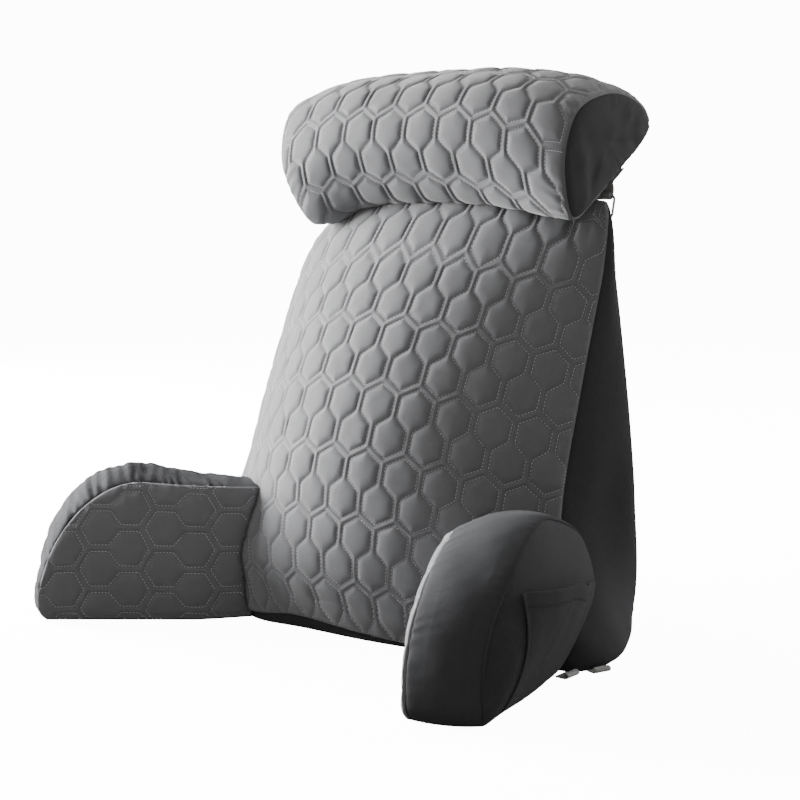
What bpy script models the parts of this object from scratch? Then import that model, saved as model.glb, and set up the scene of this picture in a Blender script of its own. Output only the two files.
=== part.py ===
"""Reading pillow with arms: a filled triangular back, two filled arms and a strapped-on head roll.

Metres, +Z up, the front of the pillow facing -Y, +X to the right of a person looking at it from the
front. The pillow stands on z = 0. Sections are built about the middle of the back's foot and the
whole pillow hangs from one empty, which puts the middle of its bounding box over the origin.
"""
import math

import bmesh
import bpy
import numpy as np
from mathutils import Matrix, Vector

CM = 0.01

# Driving dimensions
GAP = 0.03 * CM              # air between two pieces that touch
BACK_REAR_Y = 20.0 * CM      # the upright rear plane of the back
BACK_LEAN = 0.318            # how far the front seams run back for each unit of height
BACK_SEAM_Y = 4.0 * CM       # where the front seams would meet the floor
BACK_CROWN_MID = 11.4 * CM   # forward bulge of the filled back at CROWN_MID_Z
CROWN_MID_Z = 25.0 * CM
CROWN_TILT = 0.0388          # how the bulge falls off above and below CROWN_MID_Z
CROWN_CURVE = 0.894 / (100 * CM)
CROWN_SHAPE = 2.15           # power of its fall to the side seams
TUCK_HEIGHT = 5.0 * CM       # the foot of the front curves under below this height
TUCK_DEPTH = 3.0 * CM
TUCK_EASE = 0.8              # how much less the foot curves under at the side seams
FOOT_SPREAD = 3.5 * CM       # how far the foot of the side seams runs forward
FOOT_FADE = 7.0 * CM         # the height over which it does
SIDE_FLARE = 0.5 * CM        # outward bow of the back's sides
FOOT_FLARE = 4.4 * CM        # and how much more they bow near the floor
FLARE_FADE = 5.5 * CM
FOOT_ROUND = 1.2 * CM        # height over which their foot rounds under
REAR_BOW = 0.6 * CM
SHOULDER_Z = 44.0 * CM       # above this height the front rolls over to the rear top edge
TOP_Z = 52.2 * CM            # the middle of the top, which stands higher than its corners
TOP_CROWN = 1.9 * CM
PANEL_SKIN = 0.4 * CM        # quilted cloth along its stitch lines
PANEL_PUFF = 0.62 * CM       # how far a quilted cell stands above its stitch line
PUFF_RISE = 0.9 * CM         # distance from a stitch line over which a cell rises
SEAM_DRAW = 1.2 * CM         # distance from a seam over which the cells are drawn in
CELL_PITCH = 5.01 * CM       # from one honeycomb cell to the next in a row
PAIR_PITCH = 8.06 * CM       # from one pair of rows to the next
ROW_STEP = 3.73 * CM         # from the upper to the lower row of a pair
CHANNEL = 0.64 * CM          # between two neighbouring stitch lines
ARM_HEIGHT = 18.4 * CM       # top of the quilted inner side of an arm
ARM_NOSE = 13.0 * CM         # length over which the front of an arm rounds down to the floor
ARM_OUT = np.array([0.649, 0.761])   # plan direction in which the outer side faces
INNER_SWELL = 0.5 * CM
ARM_SKIN = 0.3 * CM
GUSSET_CROWN = 1.9 * CM
SEAM_INSET = 1.8 * CM        # the top outer seam stands this far in from the widest line
NOSE_CROWN = 0.4             # crown of the nose as a share of the gusset's
SIDE_SWELL = 0.7 * CM
GUSSET_STEPS = 6
STRAIGHT_STEPS = 6
NOSE_STEPS = 11
# Rows up an arm's inner side, shared with its quilted cloth
ARM_ROWS = [0.0, 0.02, 0.2, 0.4, 0.6, 0.8, 1.0]
# Rows down its outer side from the line of the pocket's top edge, shared with the pocket
POCKET_ROWS = [0.0, 0.25, 0.52, 0.9, 1.0]
POCKET_MOUTH = 1.7 * CM      # how far the pocket's top edge stands off the arm
POCKET_CLOTH = 0.15 * CM
POCKET_REAR = 3              # first and last of the arm's sections that the pocket spans
POCKET_FRONT = 13
POCKET_FLAT = 0.83           # share of its length from the front over which it stands off the arm
POCKET_GAPE = 0.35 * CM      # how far the top of its front edge gapes
ROLL_HALF = 23.9 * CM        # half the length of the head roll at its end seams
ROLL_ARCH = 3.0 * CM         # how far the middle of the head roll stands above its ends
STRAP_WIDTH = 2.5 * CM
STRAP_THICK = 0.2 * CM
ROLL_END_SWELL = 0.8 * CM
ROLL_SKIN = 0.3 * CM
END_PINCH = 0.05             # how much smaller the roll's section is at its end seams
MIDDLE_SWELL = 0.05          # and how much fuller in its middle
LEFT_RISE = 1.7 * CM         # the left end of the roll is a little fuller on top
LEFT_DROP = 0.6 * CM         # and hangs a little lower
LEFT_TUCK = 6.2 * CM         # with its lower corner drawn in
RING_WIRE = 0.32 * CM
RING_WIDTH = 3.4 * CM
RING_HEIGHT = 2.67 * CM
RING_Y = 22.0 * CM
RING_Z = 51.2 * CM
RING_LEAN = math.radians(-13)
STRAP_X_RIGHT = 22.6 * CM
STRAP_X_LEFT = -18.0 * CM
TAB_WIDTH = 2.2 * CM         # tabs at the right edge of the back's foot
TAB_AIR = 0.13 * CM          # room for the back's side, which leans out over its foot
TAB_FRONT_Y = 2.5 * CM
TAB_REAR_Y = 6.6 * CM

# The pillow's reach from the middle of the back's foot, which places it over the origin
REACH_LEFT = -37.21 * CM
REACH_RIGHT = 37.62 * CM
REACH_FRONT = -22.02 * CM
REACH_REAR = 31.70 * CM

CHARCOAL = (0.075, 0.078, 0.085)
QUILT_GREY = (0.16, 0.165, 0.175)
WEBBING = (0.36, 0.36, 0.35)
STEEL = (0.55, 0.55, 0.56)


def clear_scene():
    for item in list(bpy.data.objects):
        bpy.data.objects.remove(item, do_unlink=True)


def make_material(name, colour, roughness=0.9, metallic=0.0):
    material = bpy.data.materials.new(name)
    material.use_nodes = True
    shader = material.node_tree.nodes["Principled BSDF"]
    shader.inputs["Base Color"].default_value = (*colour, 1.0)
    shader.inputs["Roughness"].default_value = roughness
    shader.inputs["Metallic"].default_value = metallic
    return material


def smooth_table(x, knots, values):
    """A smooth curve through a short table: cubic pieces with Catmull-Rom slopes."""
    knots = np.asarray(knots, float)
    values = np.asarray(values, float)
    slopes = np.gradient(values, knots)
    x = np.clip(x, knots[0], knots[-1])
    i = np.clip(np.searchsorted(knots, x, side="right") - 1, 0, len(knots) - 2)
    width = knots[i + 1] - knots[i]
    t = (x - knots[i]) / width
    return ((2 * t**3 - 3 * t**2 + 1) * values[i] + (t**3 - 2 * t**2 + t) * width * slopes[i]
            + (3 * t**2 - 2 * t**3) * values[i + 1] + (t**3 - t**2) * width * slopes[i + 1])


def grid_normals(points):
    """Unit normals of a grid of points, rows along axis 0 and columns along axis 1."""
    along_rows = np.gradient(points, axis=0)
    along_cols = np.gradient(points, axis=1)
    normals = np.cross(along_cols, along_rows)
    return normals / np.maximum(np.linalg.norm(normals, axis=2, keepdims=True), 1e-12)


# ---------------------------------------------------------------------------------------------
# Quilting: rows of rounded honeycomb cells in pairs, each pair inside one meandering stitch line
# ---------------------------------------------------------------------------------------------
def stitch_run():
    """One repeat of the stitch line, from the top of an upper cell to the top of the next."""
    half = (CELL_PITCH - CHANNEL) / 2
    point = 1.15 * half          # centre to tip
    shoulder = 0.56 * half       # centre to the corner of the straight side
    low = ROW_STEP
    mid = CELL_PITCH / 2
    return [(0.0, -point), (half, -shoulder), (half, shoulder), (mid - half, low - shoulder),
            (mid - half, low + shoulder), (mid, low + point), (mid + half, low + shoulder),
            (mid + half, low - shoulder), (CELL_PITCH - half, shoulder),
            (CELL_PITCH - half, -shoulder), (CELL_PITCH, -point)]


def stitch_distance(across, down):
    """Distance from each pattern point to the nearest stitch line."""
    run = stitch_run()
    across = np.mod(across, CELL_PITCH)
    down = np.mod(down + PAIR_PITCH / 2 - ROW_STEP / 2, PAIR_PITCH) - PAIR_PITCH / 2 + ROW_STEP / 2
    best = np.full(np.shape(across), 1.0)
    for (ax, ay), (bx, by) in zip(run[:-1], run[1:]):
        for shift in (-CELL_PITCH, 0.0, CELL_PITCH):
            for lift in (-PAIR_PITCH, 0.0, PAIR_PITCH):
                px = across - ax - shift
                py = down - ay - lift
                dx, dy = bx - ax, by - ay
                t = np.clip((px * dx + py * dy) / (dx * dx + dy * dy), 0.0, 1.0)
                best = np.minimum(best, np.hypot(px - t * dx, py - t * dy))
    return best


def quilt_height(across, down, edge):
    """Height of the quilted face above its stitch lines, drawn in towards a seam `edge` away."""
    puff = 1.0 - np.exp(-stitch_distance(across, down) / PUFF_RISE)
    return PANEL_PUFF * puff * (1.0 - np.exp(-np.maximum(edge, 0.0) / SEAM_DRAW))


# ---------------------------------------------------------------------------------------------
# Mesh helpers
# ---------------------------------------------------------------------------------------------
def add_object(name, mesh, material, collection, parent):
    mesh.materials.append(material)
    item = bpy.data.objects.new(name, mesh)
    collection.objects.link(item)
    item.parent = parent
    return item


def finish_mesh(name, bm, merge=0.0001):
    """Weld, face outward, shade smooth."""
    bmesh.ops.remove_doubles(bm, verts=bm.verts, dist=merge)
    bmesh.ops.dissolve_degenerate(bm, dist=1e-6, edges=bm.edges)
    bmesh.ops.recalc_face_normals(bm, faces=bm.faces)
    if bm.calc_volume(signed=True) < 0:
        bmesh.ops.reverse_faces(bm, faces=bm.faces)
    mesh = bpy.data.meshes.new(name)
    bm.to_mesh(mesh)
    bm.free()
    mesh.shade_smooth()
    mesh.set_sharp_from_angle(angle=math.radians(50))
    return mesh


def split_quad(bm, a, b, c, d):
    """Two triangles that share the edge a-c, so that facing surfaces fold the same way."""
    bm.faces.new((a, b, c))
    bm.faces.new((a, c, d))


def loft(name, rings, cap_start=True, cap_end=True):
    """A closed body through a stack of closed rings with the same number of points."""
    bm = bmesh.new()
    rows = [[bm.verts.new(point) for point in ring] for ring in rings]
    count = len(rows[0])
    for lower, upper in zip(rows[:-1], rows[1:]):
        for j in range(count):
            k = (j + 1) % count
            split_quad(bm, lower[j], lower[k], upper[k], upper[j])
    if cap_start:
        bm.faces.new(list(reversed(rows[0])))
    if cap_end:
        bm.faces.new(rows[-1])
    return finish_mesh(name, bm)


def quilted_shell(name, inner, outer):
    """A sheet between a coarse inner grid and a fine outer grid whose steps divide the coarse ones."""
    bm = bmesh.new()
    coarse = [[bm.verts.new(p) for p in row] for row in inner]
    fine = [[bm.verts.new(p) for p in row] for row in outer]
    for rows, flip in ((coarse, True), (fine, False)):
        for i in range(len(rows) - 1):
            for j in range(len(rows[0]) - 1):
                a, b = rows[i][j], rows[i][j + 1]
                c, d = rows[i + 1][j + 1], rows[i + 1][j]
                split_quad(bm, a, *((d, c, b) if flip else (b, c, d)))
    row_step = (len(outer) - 1) // (len(inner) - 1)
    col_step = (len(outer[0]) - 1) // (len(inner[0]) - 1)

    def rim(coarse_line, fine_line, step):
        for k in range(len(coarse_line) - 1):
            part = fine_line[k * step:(k + 1) * step + 1]
            bm.faces.new([coarse_line[k], *part, coarse_line[k + 1]])

    rim(coarse[0], fine[0], col_step)
    rim(coarse[-1], fine[-1], col_step)
    rim([row[0] for row in coarse], [row[0] for row in fine], row_step)
    rim([row[-1] for row in coarse], [row[-1] for row in fine], row_step)
    bmesh.ops.triangulate(bm, faces=[face for face in bm.faces if len(face.verts) > 4])
    return finish_mesh(name, bm, merge=0.00001)


# ---------------------------------------------------------------------------------------------
# The back: level sections of a leaning, strongly crowned wedge
# ---------------------------------------------------------------------------------------------
SHOULDER_RUN = 11.0 * CM     # length of cloth from the shoulder to the rear top edge
BACK_RUN = SHOULDER_Z + SHOULDER_RUN
PATTERN_TOP = 43.8 * CM      # height of the first full row of cells at the middle of the back
PATTERN_DROOP = 4.26 * CM    # how much lower that row lies at the side seams
PATTERN_STRETCH = 1.05       # slope of the front, which carries more cloth than its height
PATTERN_SHIFT = 2.07         # cells between the pattern's first column and the middle of the back


def front_half_width(side, run):
    """Half the width of the front at a run of cloth up from the floor; the left top is rounder."""
    knots = np.array([0.0, 15.0, 30.0, 38.0, 44.0, 49.0, 55.0]) * CM
    right = np.array([30.8, 26.4, 25.7, 25.7, 25.7, 25.4, 24.6]) * CM
    left = np.array([28.6, 25.2, 23.9, 23.1, 22.1, 20.2, 18.2]) * CM
    return np.where(side > 0, smooth_table(run, knots, right), smooth_table(run, knots, left))


def rear_half_width(side, run):
    knots = np.array([0.0, 3.0, 18.0, 28.0, 37.0, 47.0, 55.0]) * CM
    right = np.array([28.4, 29.2, 29.3, 28.4, 27.3, 25.9, 24.6]) * CM
    left = np.array([28.4, 29.2, 28.8, 26.8, 24.8, 22.0, 18.2]) * CM
    return np.where(side > 0, smooth_table(run, knots, right), smooth_table(run, knots, left))


def crown(height):
    rise = height - CROWN_MID_Z
    return BACK_CROWN_MID - CROWN_TILT * rise - CROWN_CURVE * rise**2


def top_height(u):
    """Height of the rear top edge across the back, lower towards its left corner."""
    return TOP_Z - TOP_CROWN * u**2 - np.where(u < 0, 1.3 * CM * np.abs(u)**3, 0.0)


def back_front(u, run):
    """The filled back's front: u from -1 at the left seam to 1 at the right, run up from the floor."""
    u, run = np.broadcast_arrays(np.asarray(u, float), np.asarray(run, float))
    x = u * front_half_width(u, run)

    def front_y(height):
        foot = FOOT_SPREAD * np.abs(u)**3 * np.exp(-(height / FOOT_FADE)**2)
        return BACK_SEAM_Y + BACK_LEAN * height - crown(height) * (1.0 - np.abs(u)**CROWN_SHAPE) - foot

    turn = 0.5 * math.pi * np.clip(run / TUCK_HEIGHT, 0.0, 1.0)
    tuck_z = TUCK_HEIGHT * (1.0 - np.cos(turn))
    tuck_y = front_y(TUCK_HEIGHT) + TUCK_DEPTH * (1.0 - np.sin(turn)) * (1.0 - TUCK_EASE * u**4)
    over = np.clip((run - SHOULDER_Z) / SHOULDER_RUN, 0.0, 1.0)
    top = top_height(u)
    fall = CROWN_TILT + 2.0 * CROWN_CURVE * (SHOULDER_Z - CROWN_MID_Z)
    lean = BACK_LEAN + fall * (1.0 - np.abs(u)**CROWN_SHAPE)
    bend_y = np.minimum(front_y(SHOULDER_Z) + lean * (top - SHOULDER_Z), BACK_REAR_Y - 0.2 * CM)
    over_y = ((1 - over)**2 * front_y(SHOULDER_Z) + 2 * over * (1 - over) * bend_y
              + over**2 * BACK_REAR_Y)
    over_z = (1 - over)**2 * SHOULDER_Z + 2 * over * (1 - over) * top + over**2 * top
    y = np.where(run < TUCK_HEIGHT, tuck_y, np.where(run > SHOULDER_Z, over_y, front_y(run)))
    z = np.where(run < TUCK_HEIGHT, tuck_z, np.where(run > SHOULDER_Z, over_z, run))
    return np.stack([x, y, z], axis=-1)


def subdivide(values, parts):
    """The same values with each step split into equal parts."""
    values = np.asarray(values, float)
    steps = np.linspace(0, len(values) - 1, (len(values) - 1) * parts + 1)
    return np.interp(steps, np.arange(len(values)), values)


# Places of the back's sections: runs of cloth up from the floor, and columns from seam to seam
PANEL_LOW = 2.0 * CM
PANEL_HIGH = BACK_RUN - 1.2 * CM
BACK_LEVELS = np.concatenate([[0.0, PANEL_LOW, 3.5 * CM], np.linspace(TUCK_HEIGHT, PANEL_HIGH, 20),
                              [BACK_RUN]])
BACK_COLUMNS = np.linspace(-1.0, 1.0, 23)
SIDE_STEPS = 6
TOP_CLOSING = 2.0 * CM       # an outset section comes back to the filled back over this run


def back_ring(run, outset, front_outset):
    """One closed section of the back: front, right side, rear and left side."""
    u = BACK_COLUMNS
    closing = min(1.0, (BACK_RUN - run) / TOP_CLOSING)
    step = 0.05 * CM
    front = back_front(u, run)
    rise = back_front(u, min(run + step, BACK_RUN)) - back_front(u, max(run - step, 0.0))
    normals = np.cross(np.gradient(front, axis=0), rise)
    normals /= np.linalg.norm(normals, axis=1, keepdims=True)
    front = front + normals * front_outset * closing
    lift = run / BACK_RUN
    bow = REAR_BOW * (1.0 - u**2) * math.sin(math.pi * lift)
    rear = np.stack([u * (rear_half_width(u, run) + outset * closing),
                     BACK_REAR_Y + outset * closing + bow, lift * top_height(u)], axis=1)
    flare = (SIDE_FLARE + FOOT_FLARE * math.exp(-(run / FLARE_FADE)**2)) * (1.0 - lift**6)
    flare *= 1.0 - 0.25 * math.exp(-(run / FOOT_ROUND)**2)
    right, left = [], []
    for side, corner, tail in ((right, front[-1], rear[-1]), (left, front[0], rear[0])):
        away = math.copysign(1.0, corner[0])
        for w in np.linspace(0.0, 1.0, SIDE_STEPS + 1)[1:-1]:
            point = corner + (tail - corner) * w
            point[0] += away * (flare * math.sin(math.pi * w**0.7) + outset * closing)
            side.append(point)
    return np.vstack([front, right, rear[::-1], left[::-1]])


def back_body(name, outset=0.0, front_outset=0.0, foot=0.0):
    """The filled back; with an outset it is the room that the back takes from its neighbours."""
    rings = [back_ring(run, outset, front_outset) for run in BACK_LEVELS]
    if foot > 0.0:
        rings.insert(0, rings[0] - [0.0, 0.0, foot])
    return loft(name, rings, cap_end=False)


def back_panel_grids():
    """Inner and outer grids of the quilted front panel, from above the foot to the rear top edge."""
    levels = BACK_LEVELS[1:-1]
    inner = back_front(BACK_COLUMNS[None, :], levels[:, None])
    u = subdivide(BACK_COLUMNS, 2)[None, :]
    run = subdivide(levels, 2)[:, None]
    face = back_front(u, run)
    across = np.linalg.norm(np.diff(face, axis=1, prepend=face[:, :1]), axis=2).cumsum(axis=1)
    edge = np.minimum(np.minimum(across, across[:, -1:] - across),
                      np.minimum(run - PANEL_LOW, PANEL_HIGH - run))
    middle = across[:, across.shape[1] // 2][:, None]
    down = (PATTERN_TOP - run - PATTERN_DROOP * u**2) * PATTERN_STRETCH
    height = quilt_height(across - middle + PATTERN_SHIFT * CELL_PITCH, down, edge)
    outer = face + grid_normals(face) * (GAP + PANEL_SKIN + height)[..., None]
    return inner + grid_normals(inner) * GAP, outer


# ---------------------------------------------------------------------------------------------
# An arm: sections across it, from inside the back to its rounded nose on the floor. Both arms are
# worked out on the right; the left one is mirrored, and splays a little more.
# ---------------------------------------------------------------------------------------------
# Plan of the foot of an arm's inner side, from inside the back to its nose, in centimetres
ARM_FOOT = {"right": ((13.8, 1.8), (27.8, -20.3)), "left": ((4.0, 1.1), (31.0, -21.8))}
ARM_LEAN = {"right": 4.4, "left": 5.2}     # how far the inner side's top seam stands out, in cm
OUTER_NOSE = {"right": 9.0, "left": 17.0}  # length of the rounded front of the outer side, in cm
NOSE_REACH = {"right": 0.0, "left": 1.3}   # how much further forward the outer side reaches, in cm
# Height of the inner side's top seam along an arm
INNER_PLACES = [0.0, 0.3, 0.5, 0.7, 1.0]
INNER_SEAM = {"right": [15.8, 17.2, 18.0, 18.3, 18.0], "left": [16.4, 16.8, 17.1, 17.2, 17.0]}
# Along an arm: the widest line of the outer side, how far in its foot lies, its top seam's height
OUTER_PLACES = [0.0, 0.3, 0.45, 0.6, 0.7, 0.8, 0.9, 1.0]
OUTER_X = [24.9, 29.8, 32.2, 34.3, 35.7, 36.8, 37.0, 35.0]
OUTER_Y = [17.5, 11.5, 6.8, 1.6, -2.7, -7.6, -12.6, -16.7]
OUTER_FOOT = [3.0, 3.4, 3.8, 4.1, 4.6, 4.9, 3.6, 0.0]
OUTER_SEAM = {"right": [10.0, 11.4, 13.0, 15.2, 17.2, 19.2, 19.9, 19.9],
              "left": [10.5, 12.0, 13.6, 15.6, 17.2, 18.7, 19.2, 19.2]}


# The pocket's top edge, as a share of the way down the outer side
EDGE_PLACES = [0.0, 0.777, 0.833, 0.882, 0.923, 1.0]
EDGE_DOWN = [0.27, 0.27, 0.22, 0.13, 0.12, 0.2]


def outer_rows(along):
    """Rows down the outer side of an arm, the third of them along the pocket's top edge."""
    edge = float(smooth_table(along, EDGE_PLACES, EDGE_DOWN))
    return np.concatenate([[0.0, 0.5 * edge], edge + (1.0 - edge) * np.array(POCKET_ROWS)])


class Arm:
    """The shape of one arm, as points for a place along it from 0 to 1."""

    def __init__(self, hand):
        self.hand = hand
        self.root, self.nose = (np.array(end) * CM for end in ARM_FOOT[hand])
        self.length = float(np.linalg.norm(self.nose - self.root))
        self.forward = (self.nose - self.root) / self.length
        self.out = np.array([-self.forward[1], self.forward[0]])
        self.lean = ARM_LEAN[hand] * CM
        self.outer_nose = OUTER_NOSE[hand] * CM
        self.reach = NOSE_REACH[hand] * CM
        self.seam = INNER_SEAM[hand]

    def profile(self, along, nose_length):
        """Falls from 1 to 0 over the rounded nose, as a quarter of an ellipse."""
        reach = np.clip(1.0 - (1.0 - along) * self.length / nose_length, 0.0, 1.0)
        return np.sqrt(np.maximum(0.0, 1.0 - reach**2))

    def inner_face(self, along, up):
        """The inner side: up runs from 0 on the floor to 1 at its top seam, where it leans out."""
        along, up = np.broadcast_arrays(np.asarray(along, float), np.asarray(up, float))
        profile = self.profile(along, ARM_NOSE)
        height = up * smooth_table(along, INNER_PLACES, self.seam) * CM * profile
        share = height / ARM_HEIGHT
        lean = self.lean * share**2.4 - INNER_SWELL * np.sin(math.pi * share) * profile
        plan = self.root + (self.nose - self.root) * along[..., None] + self.out * lean[..., None]
        return np.concatenate([plan, height[..., None]], axis=-1)

    def outer_side(self, along, rows):
        """Points down the outer side, from its top seam (0) to the floor (1)."""
        profile = float(self.profile(along, self.outer_nose))
        x, y, inset, seam_z = (float(smooth_table(along, OUTER_PLACES, table)) * CM
                               for table in (OUTER_X, OUTER_Y, OUTER_FOOT, OUTER_SEAM[self.hand]))
        wide = np.array([x, y]) + self.forward * self.reach * along**6
        seam_z *= profile
        points = []
        for w in rows:
            shift = SEAM_INSET * profile * (1.0 - w)**2 + inset * w**2.4
            shift -= SIDE_SWELL * profile * math.sin(math.pi * w)
            points.append([*(wide - ARM_OUT * shift), seam_z * (1.0 - w)])
        return np.array(points)

    def ring(self, along):
        """One closed section: up the inner side, over the gusset, down the outer side, back below."""
        profile = float(self.profile(along, ARM_NOSE))
        inner = self.inner_face(along, ARM_ROWS)
        outside = self.outer_side(along, outer_rows(along))
        over, below = [], []
        for w in np.linspace(0.0, 1.0, GUSSET_STEPS + 1)[1:-1]:
            bulge = GUSSET_CROWN * 4.0 * w * (1.0 - w)
            push = np.array([*(self.forward * bulge * NOSE_CROWN * (1.0 - profile)), 0.0])
            lift = np.array([0.0, 0.0, bulge * profile])
            over.append(inner[-1] + (outside[0] - inner[-1]) * w + push + lift)
            below.append(inner[0] + (outside[-1] - inner[0]) * w + push)
        return np.vstack([inner, over, outside, below[::-1]])

    def stations(self):
        """Places of the sections, closer together over the nose."""
        turn_start = 1.0 - ARM_NOSE / self.length
        straight = np.linspace(0.0, turn_start, STRAIGHT_STEPS, endpoint=False)
        turn = np.sin(np.linspace(0.0, 0.5 * math.pi, NOSE_STEPS + 1))
        return np.concatenate([straight, turn_start + (1.0 - turn_start) * turn])

    def hand_mesh(self, mesh):
        """The mesh on this arm's own side of the pillow, still facing out."""
        if self.hand == "left":
            mesh.transform(Matrix.Scale(-1.0, 4, Vector((1.0, 0.0, 0.0))))
            mesh.flip_normals()
        return mesh

    def body(self, name):
        rings = [self.ring(along) for along in self.stations()]
        return self.hand_mesh(loft(name, rings, cap_end=False))

    def panel(self, name):
        """The quilted cloth on the inner side, its honeycomb rows running up and down."""
        stations = self.stations()[:-1]
        rows = np.array(ARM_ROWS[1:])
        inner = self.inner_face(stations[None, :], rows[:, None])
        places, ups = subdivide(stations, 2)[None, :], subdivide(rows, 3)[:, None]
        face = self.inner_face(places, ups)
        to_nose = (1.0 - places) * self.length + 0.0 * ups
        climb = np.linalg.norm(np.diff(face, axis=0, prepend=face[:1]), axis=2).cumsum(axis=0)
        edge = np.minimum(np.minimum(climb, climb[-1:] - climb), to_nose)
        height = quilt_height(climb - 0.3 * CELL_PITCH, to_nose, edge)
        outer = face + grid_normals(face) * (GAP + ARM_SKIN + height)[..., None]
        return self.hand_mesh(quilted_shell(name, inner + grid_normals(inner) * GAP, outer))

    def pocket(self, name):
        """A patch pocket, sewn down at its ends and foot, its top edge standing off the arm."""
        columns = self.stations()[POCKET_REAR:POCKET_FRONT][::-1]
        face = np.array([self.outer_side(place, outer_rows(place)[2:-1][::-1]) for place in columns])
        face = face.transpose(1, 0, 2)
        across = np.linspace(0.0, 1.0, len(columns))[None, :]
        up = np.linspace(0.0, 1.0, len(face))[:, None]
        arch = np.sin(math.pi * np.minimum(1.0, across / POCKET_FLAT))
        stand = POCKET_MOUTH * np.maximum(arch, 0.0)**0.7 * up**1.3
        stand = np.maximum(stand, POCKET_GAPE * up**1.5 * np.clip(1.0 - 3.0 * across, 0.0, 1.0))
        inner = face + grid_normals(face) * (GAP + stand)[..., None]
        outer = inner + grid_normals(inner) * POCKET_CLOTH
        return self.hand_mesh(quilted_shell(name, inner, outer))


# ---------------------------------------------------------------------------------------------
# The head roll: a rounded three-sided bolster that arches over the top of the back
# ---------------------------------------------------------------------------------------------
ROLL_CENTRE = (19.5 * CM, 58.5 * CM)
# Section at an end, from the rear tip over the top, down the front and back along the underside
ROLL_SECTION = [(10.7, 2.9), (8.6, 5.3), (2.7, 6.2), (-4.0, 4.3), (-6.9, 0.6), (-7.5, -4.0),
                (-5.6, -8.9), (-0.6, -6.4), (5.0, -2.6), (9.3, 0.3)]


def roll_section(around):
    """A smooth closed curve through the section's points; around runs from 0 to 1."""
    points = np.array(ROLL_SECTION) * CM
    count = len(points)
    place = np.mod(around, 1.0) * count
    i = np.floor(place).astype(int) % count
    t = (place - np.floor(place))[..., None]
    before, start = points[(i - 1) % count], points[i]
    end, after = points[(i + 1) % count], points[(i + 2) % count]
    return 0.5 * (2 * start + (end - before) * t + (2 * before - 5 * start + 4 * end - after) * t**2
                  + (3 * start - before - 3 * end + after) * t**3)


def roll_face(along, around):
    """A point of the filled roll; along runs from -1 at its left seam to 1 at its right seam."""
    along, around = np.broadcast_arrays(np.asarray(along, float), np.asarray(around, float))
    section = roll_section(around)
    highest, lowest = (pick(height for _, height in ROLL_SECTION) * CM for pick in (max, min))
    low = np.clip((highest - section[..., 1]) / (highest - lowest), 0.0, 1.0)
    middle = 1.0 - np.abs(along)**2.5
    leftward = np.maximum(0.0, -along)
    pinch = 1.0 - END_PINCH * np.abs(along)**8
    y = ROLL_CENTRE[0] + section[..., 0] * pinch * (1.0 + 2.0 * MIDDLE_SWELL * middle)
    z = ROLL_CENTRE[1] + section[..., 1] * pinch * (1.0 + MIDDLE_SWELL * middle) + ROLL_ARCH * middle
    z = z + leftward**1.5 * (LEFT_RISE * np.maximum(0.0, 1.0 - 2.2 * low) - LEFT_DROP * low**2)
    x = along * ROLL_HALF + LEFT_TUCK * leftward**3 * (0.2 + 0.8 * low**1.7)
    return np.stack([x, y, z], axis=-1)


ROLL_STATIONS = np.linspace(-1.0, 1.0, 13)
ROLL_AROUND = np.linspace(0.0, 1.0, 21)


def roll_body(name):
    """The filled roll, with its plain ends swelling a little beyond their seams."""
    around = ROLL_AROUND[:-1]
    steps = ((0.975, 0.3), (0.85, 0.7), (0.45, 1.0))

    def end_ring(end, share, swell):
        ring = roll_face(end, around)
        centre = np.array([ring[:, 0].mean(), *ROLL_CENTRE])
        return centre + (ring - centre) * share + [end * ROLL_END_SWELL * swell, 0.0, 0.0]

    rings = [end_ring(-1.0, *step) for step in reversed(steps)]
    rings += [roll_face(place, around) for place in ROLL_STATIONS]
    rings += [end_ring(1.0, *step) for step in steps]
    return loft(name, rings)


def roll_cover_grids():
    """Inner and outer grids of the quilted cloth round the roll, and the ways round of the outer."""
    opening = 0.004              # share of the way round between its two long edges
    around = np.concatenate([[opening], ROLL_AROUND[1:-1], [1.0 - opening]])
    inner = roll_face(ROLL_STATIONS[:, None], around[None, :])
    fine_around = subdivide(around, 2)
    outer = roll_face(subdivide(ROLL_STATIONS, 3)[:, None], fine_around[None, :])
    normals = grid_normals(outer)
    across = outer[..., 0]
    down = np.cumsum(np.linalg.norm(np.diff(outer, axis=1, prepend=outer[:, :1]), axis=2), axis=1)
    edge = np.minimum(ROLL_HALF - np.abs(across), np.minimum(down, down[:, -1:] - down))
    height = quilt_height(across + 0.5 * CELL_PITCH, down, edge)
    outer = outer + normals * (GAP + ROLL_SKIN + height)[..., None]
    return inner + grid_normals(inner) * GAP, outer, fine_around


# ---------------------------------------------------------------------------------------------
# Webbing and rings behind the head roll, and the tabs under the right side of the back
# ---------------------------------------------------------------------------------------------
# Paths of the bands as (outward, up) points in centimetres, each wrapped round one bar of its ring
ROLL_STRAP_LOOP = [(22.78, 53.0), (22.66, 52.5), (22.55, 52.25), (22.3, 52.14), (22.05, 52.25),
                   (21.94, 52.5), (22.0, 52.85)]
BACK_STRAP_PATH = [(20.18, 46.4), (20.18, 48.0), (20.65, 49.1), (21.15, 49.6), (21.34, 49.9),
                   (21.45, 50.15), (21.7, 50.26), (21.95, 50.15), (22.06, 49.9), (22.0, 49.5)]
STRAP_SEAT = (0.845, 0.80)       # ways round the roll between which a strap is sewn to its cover


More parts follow.
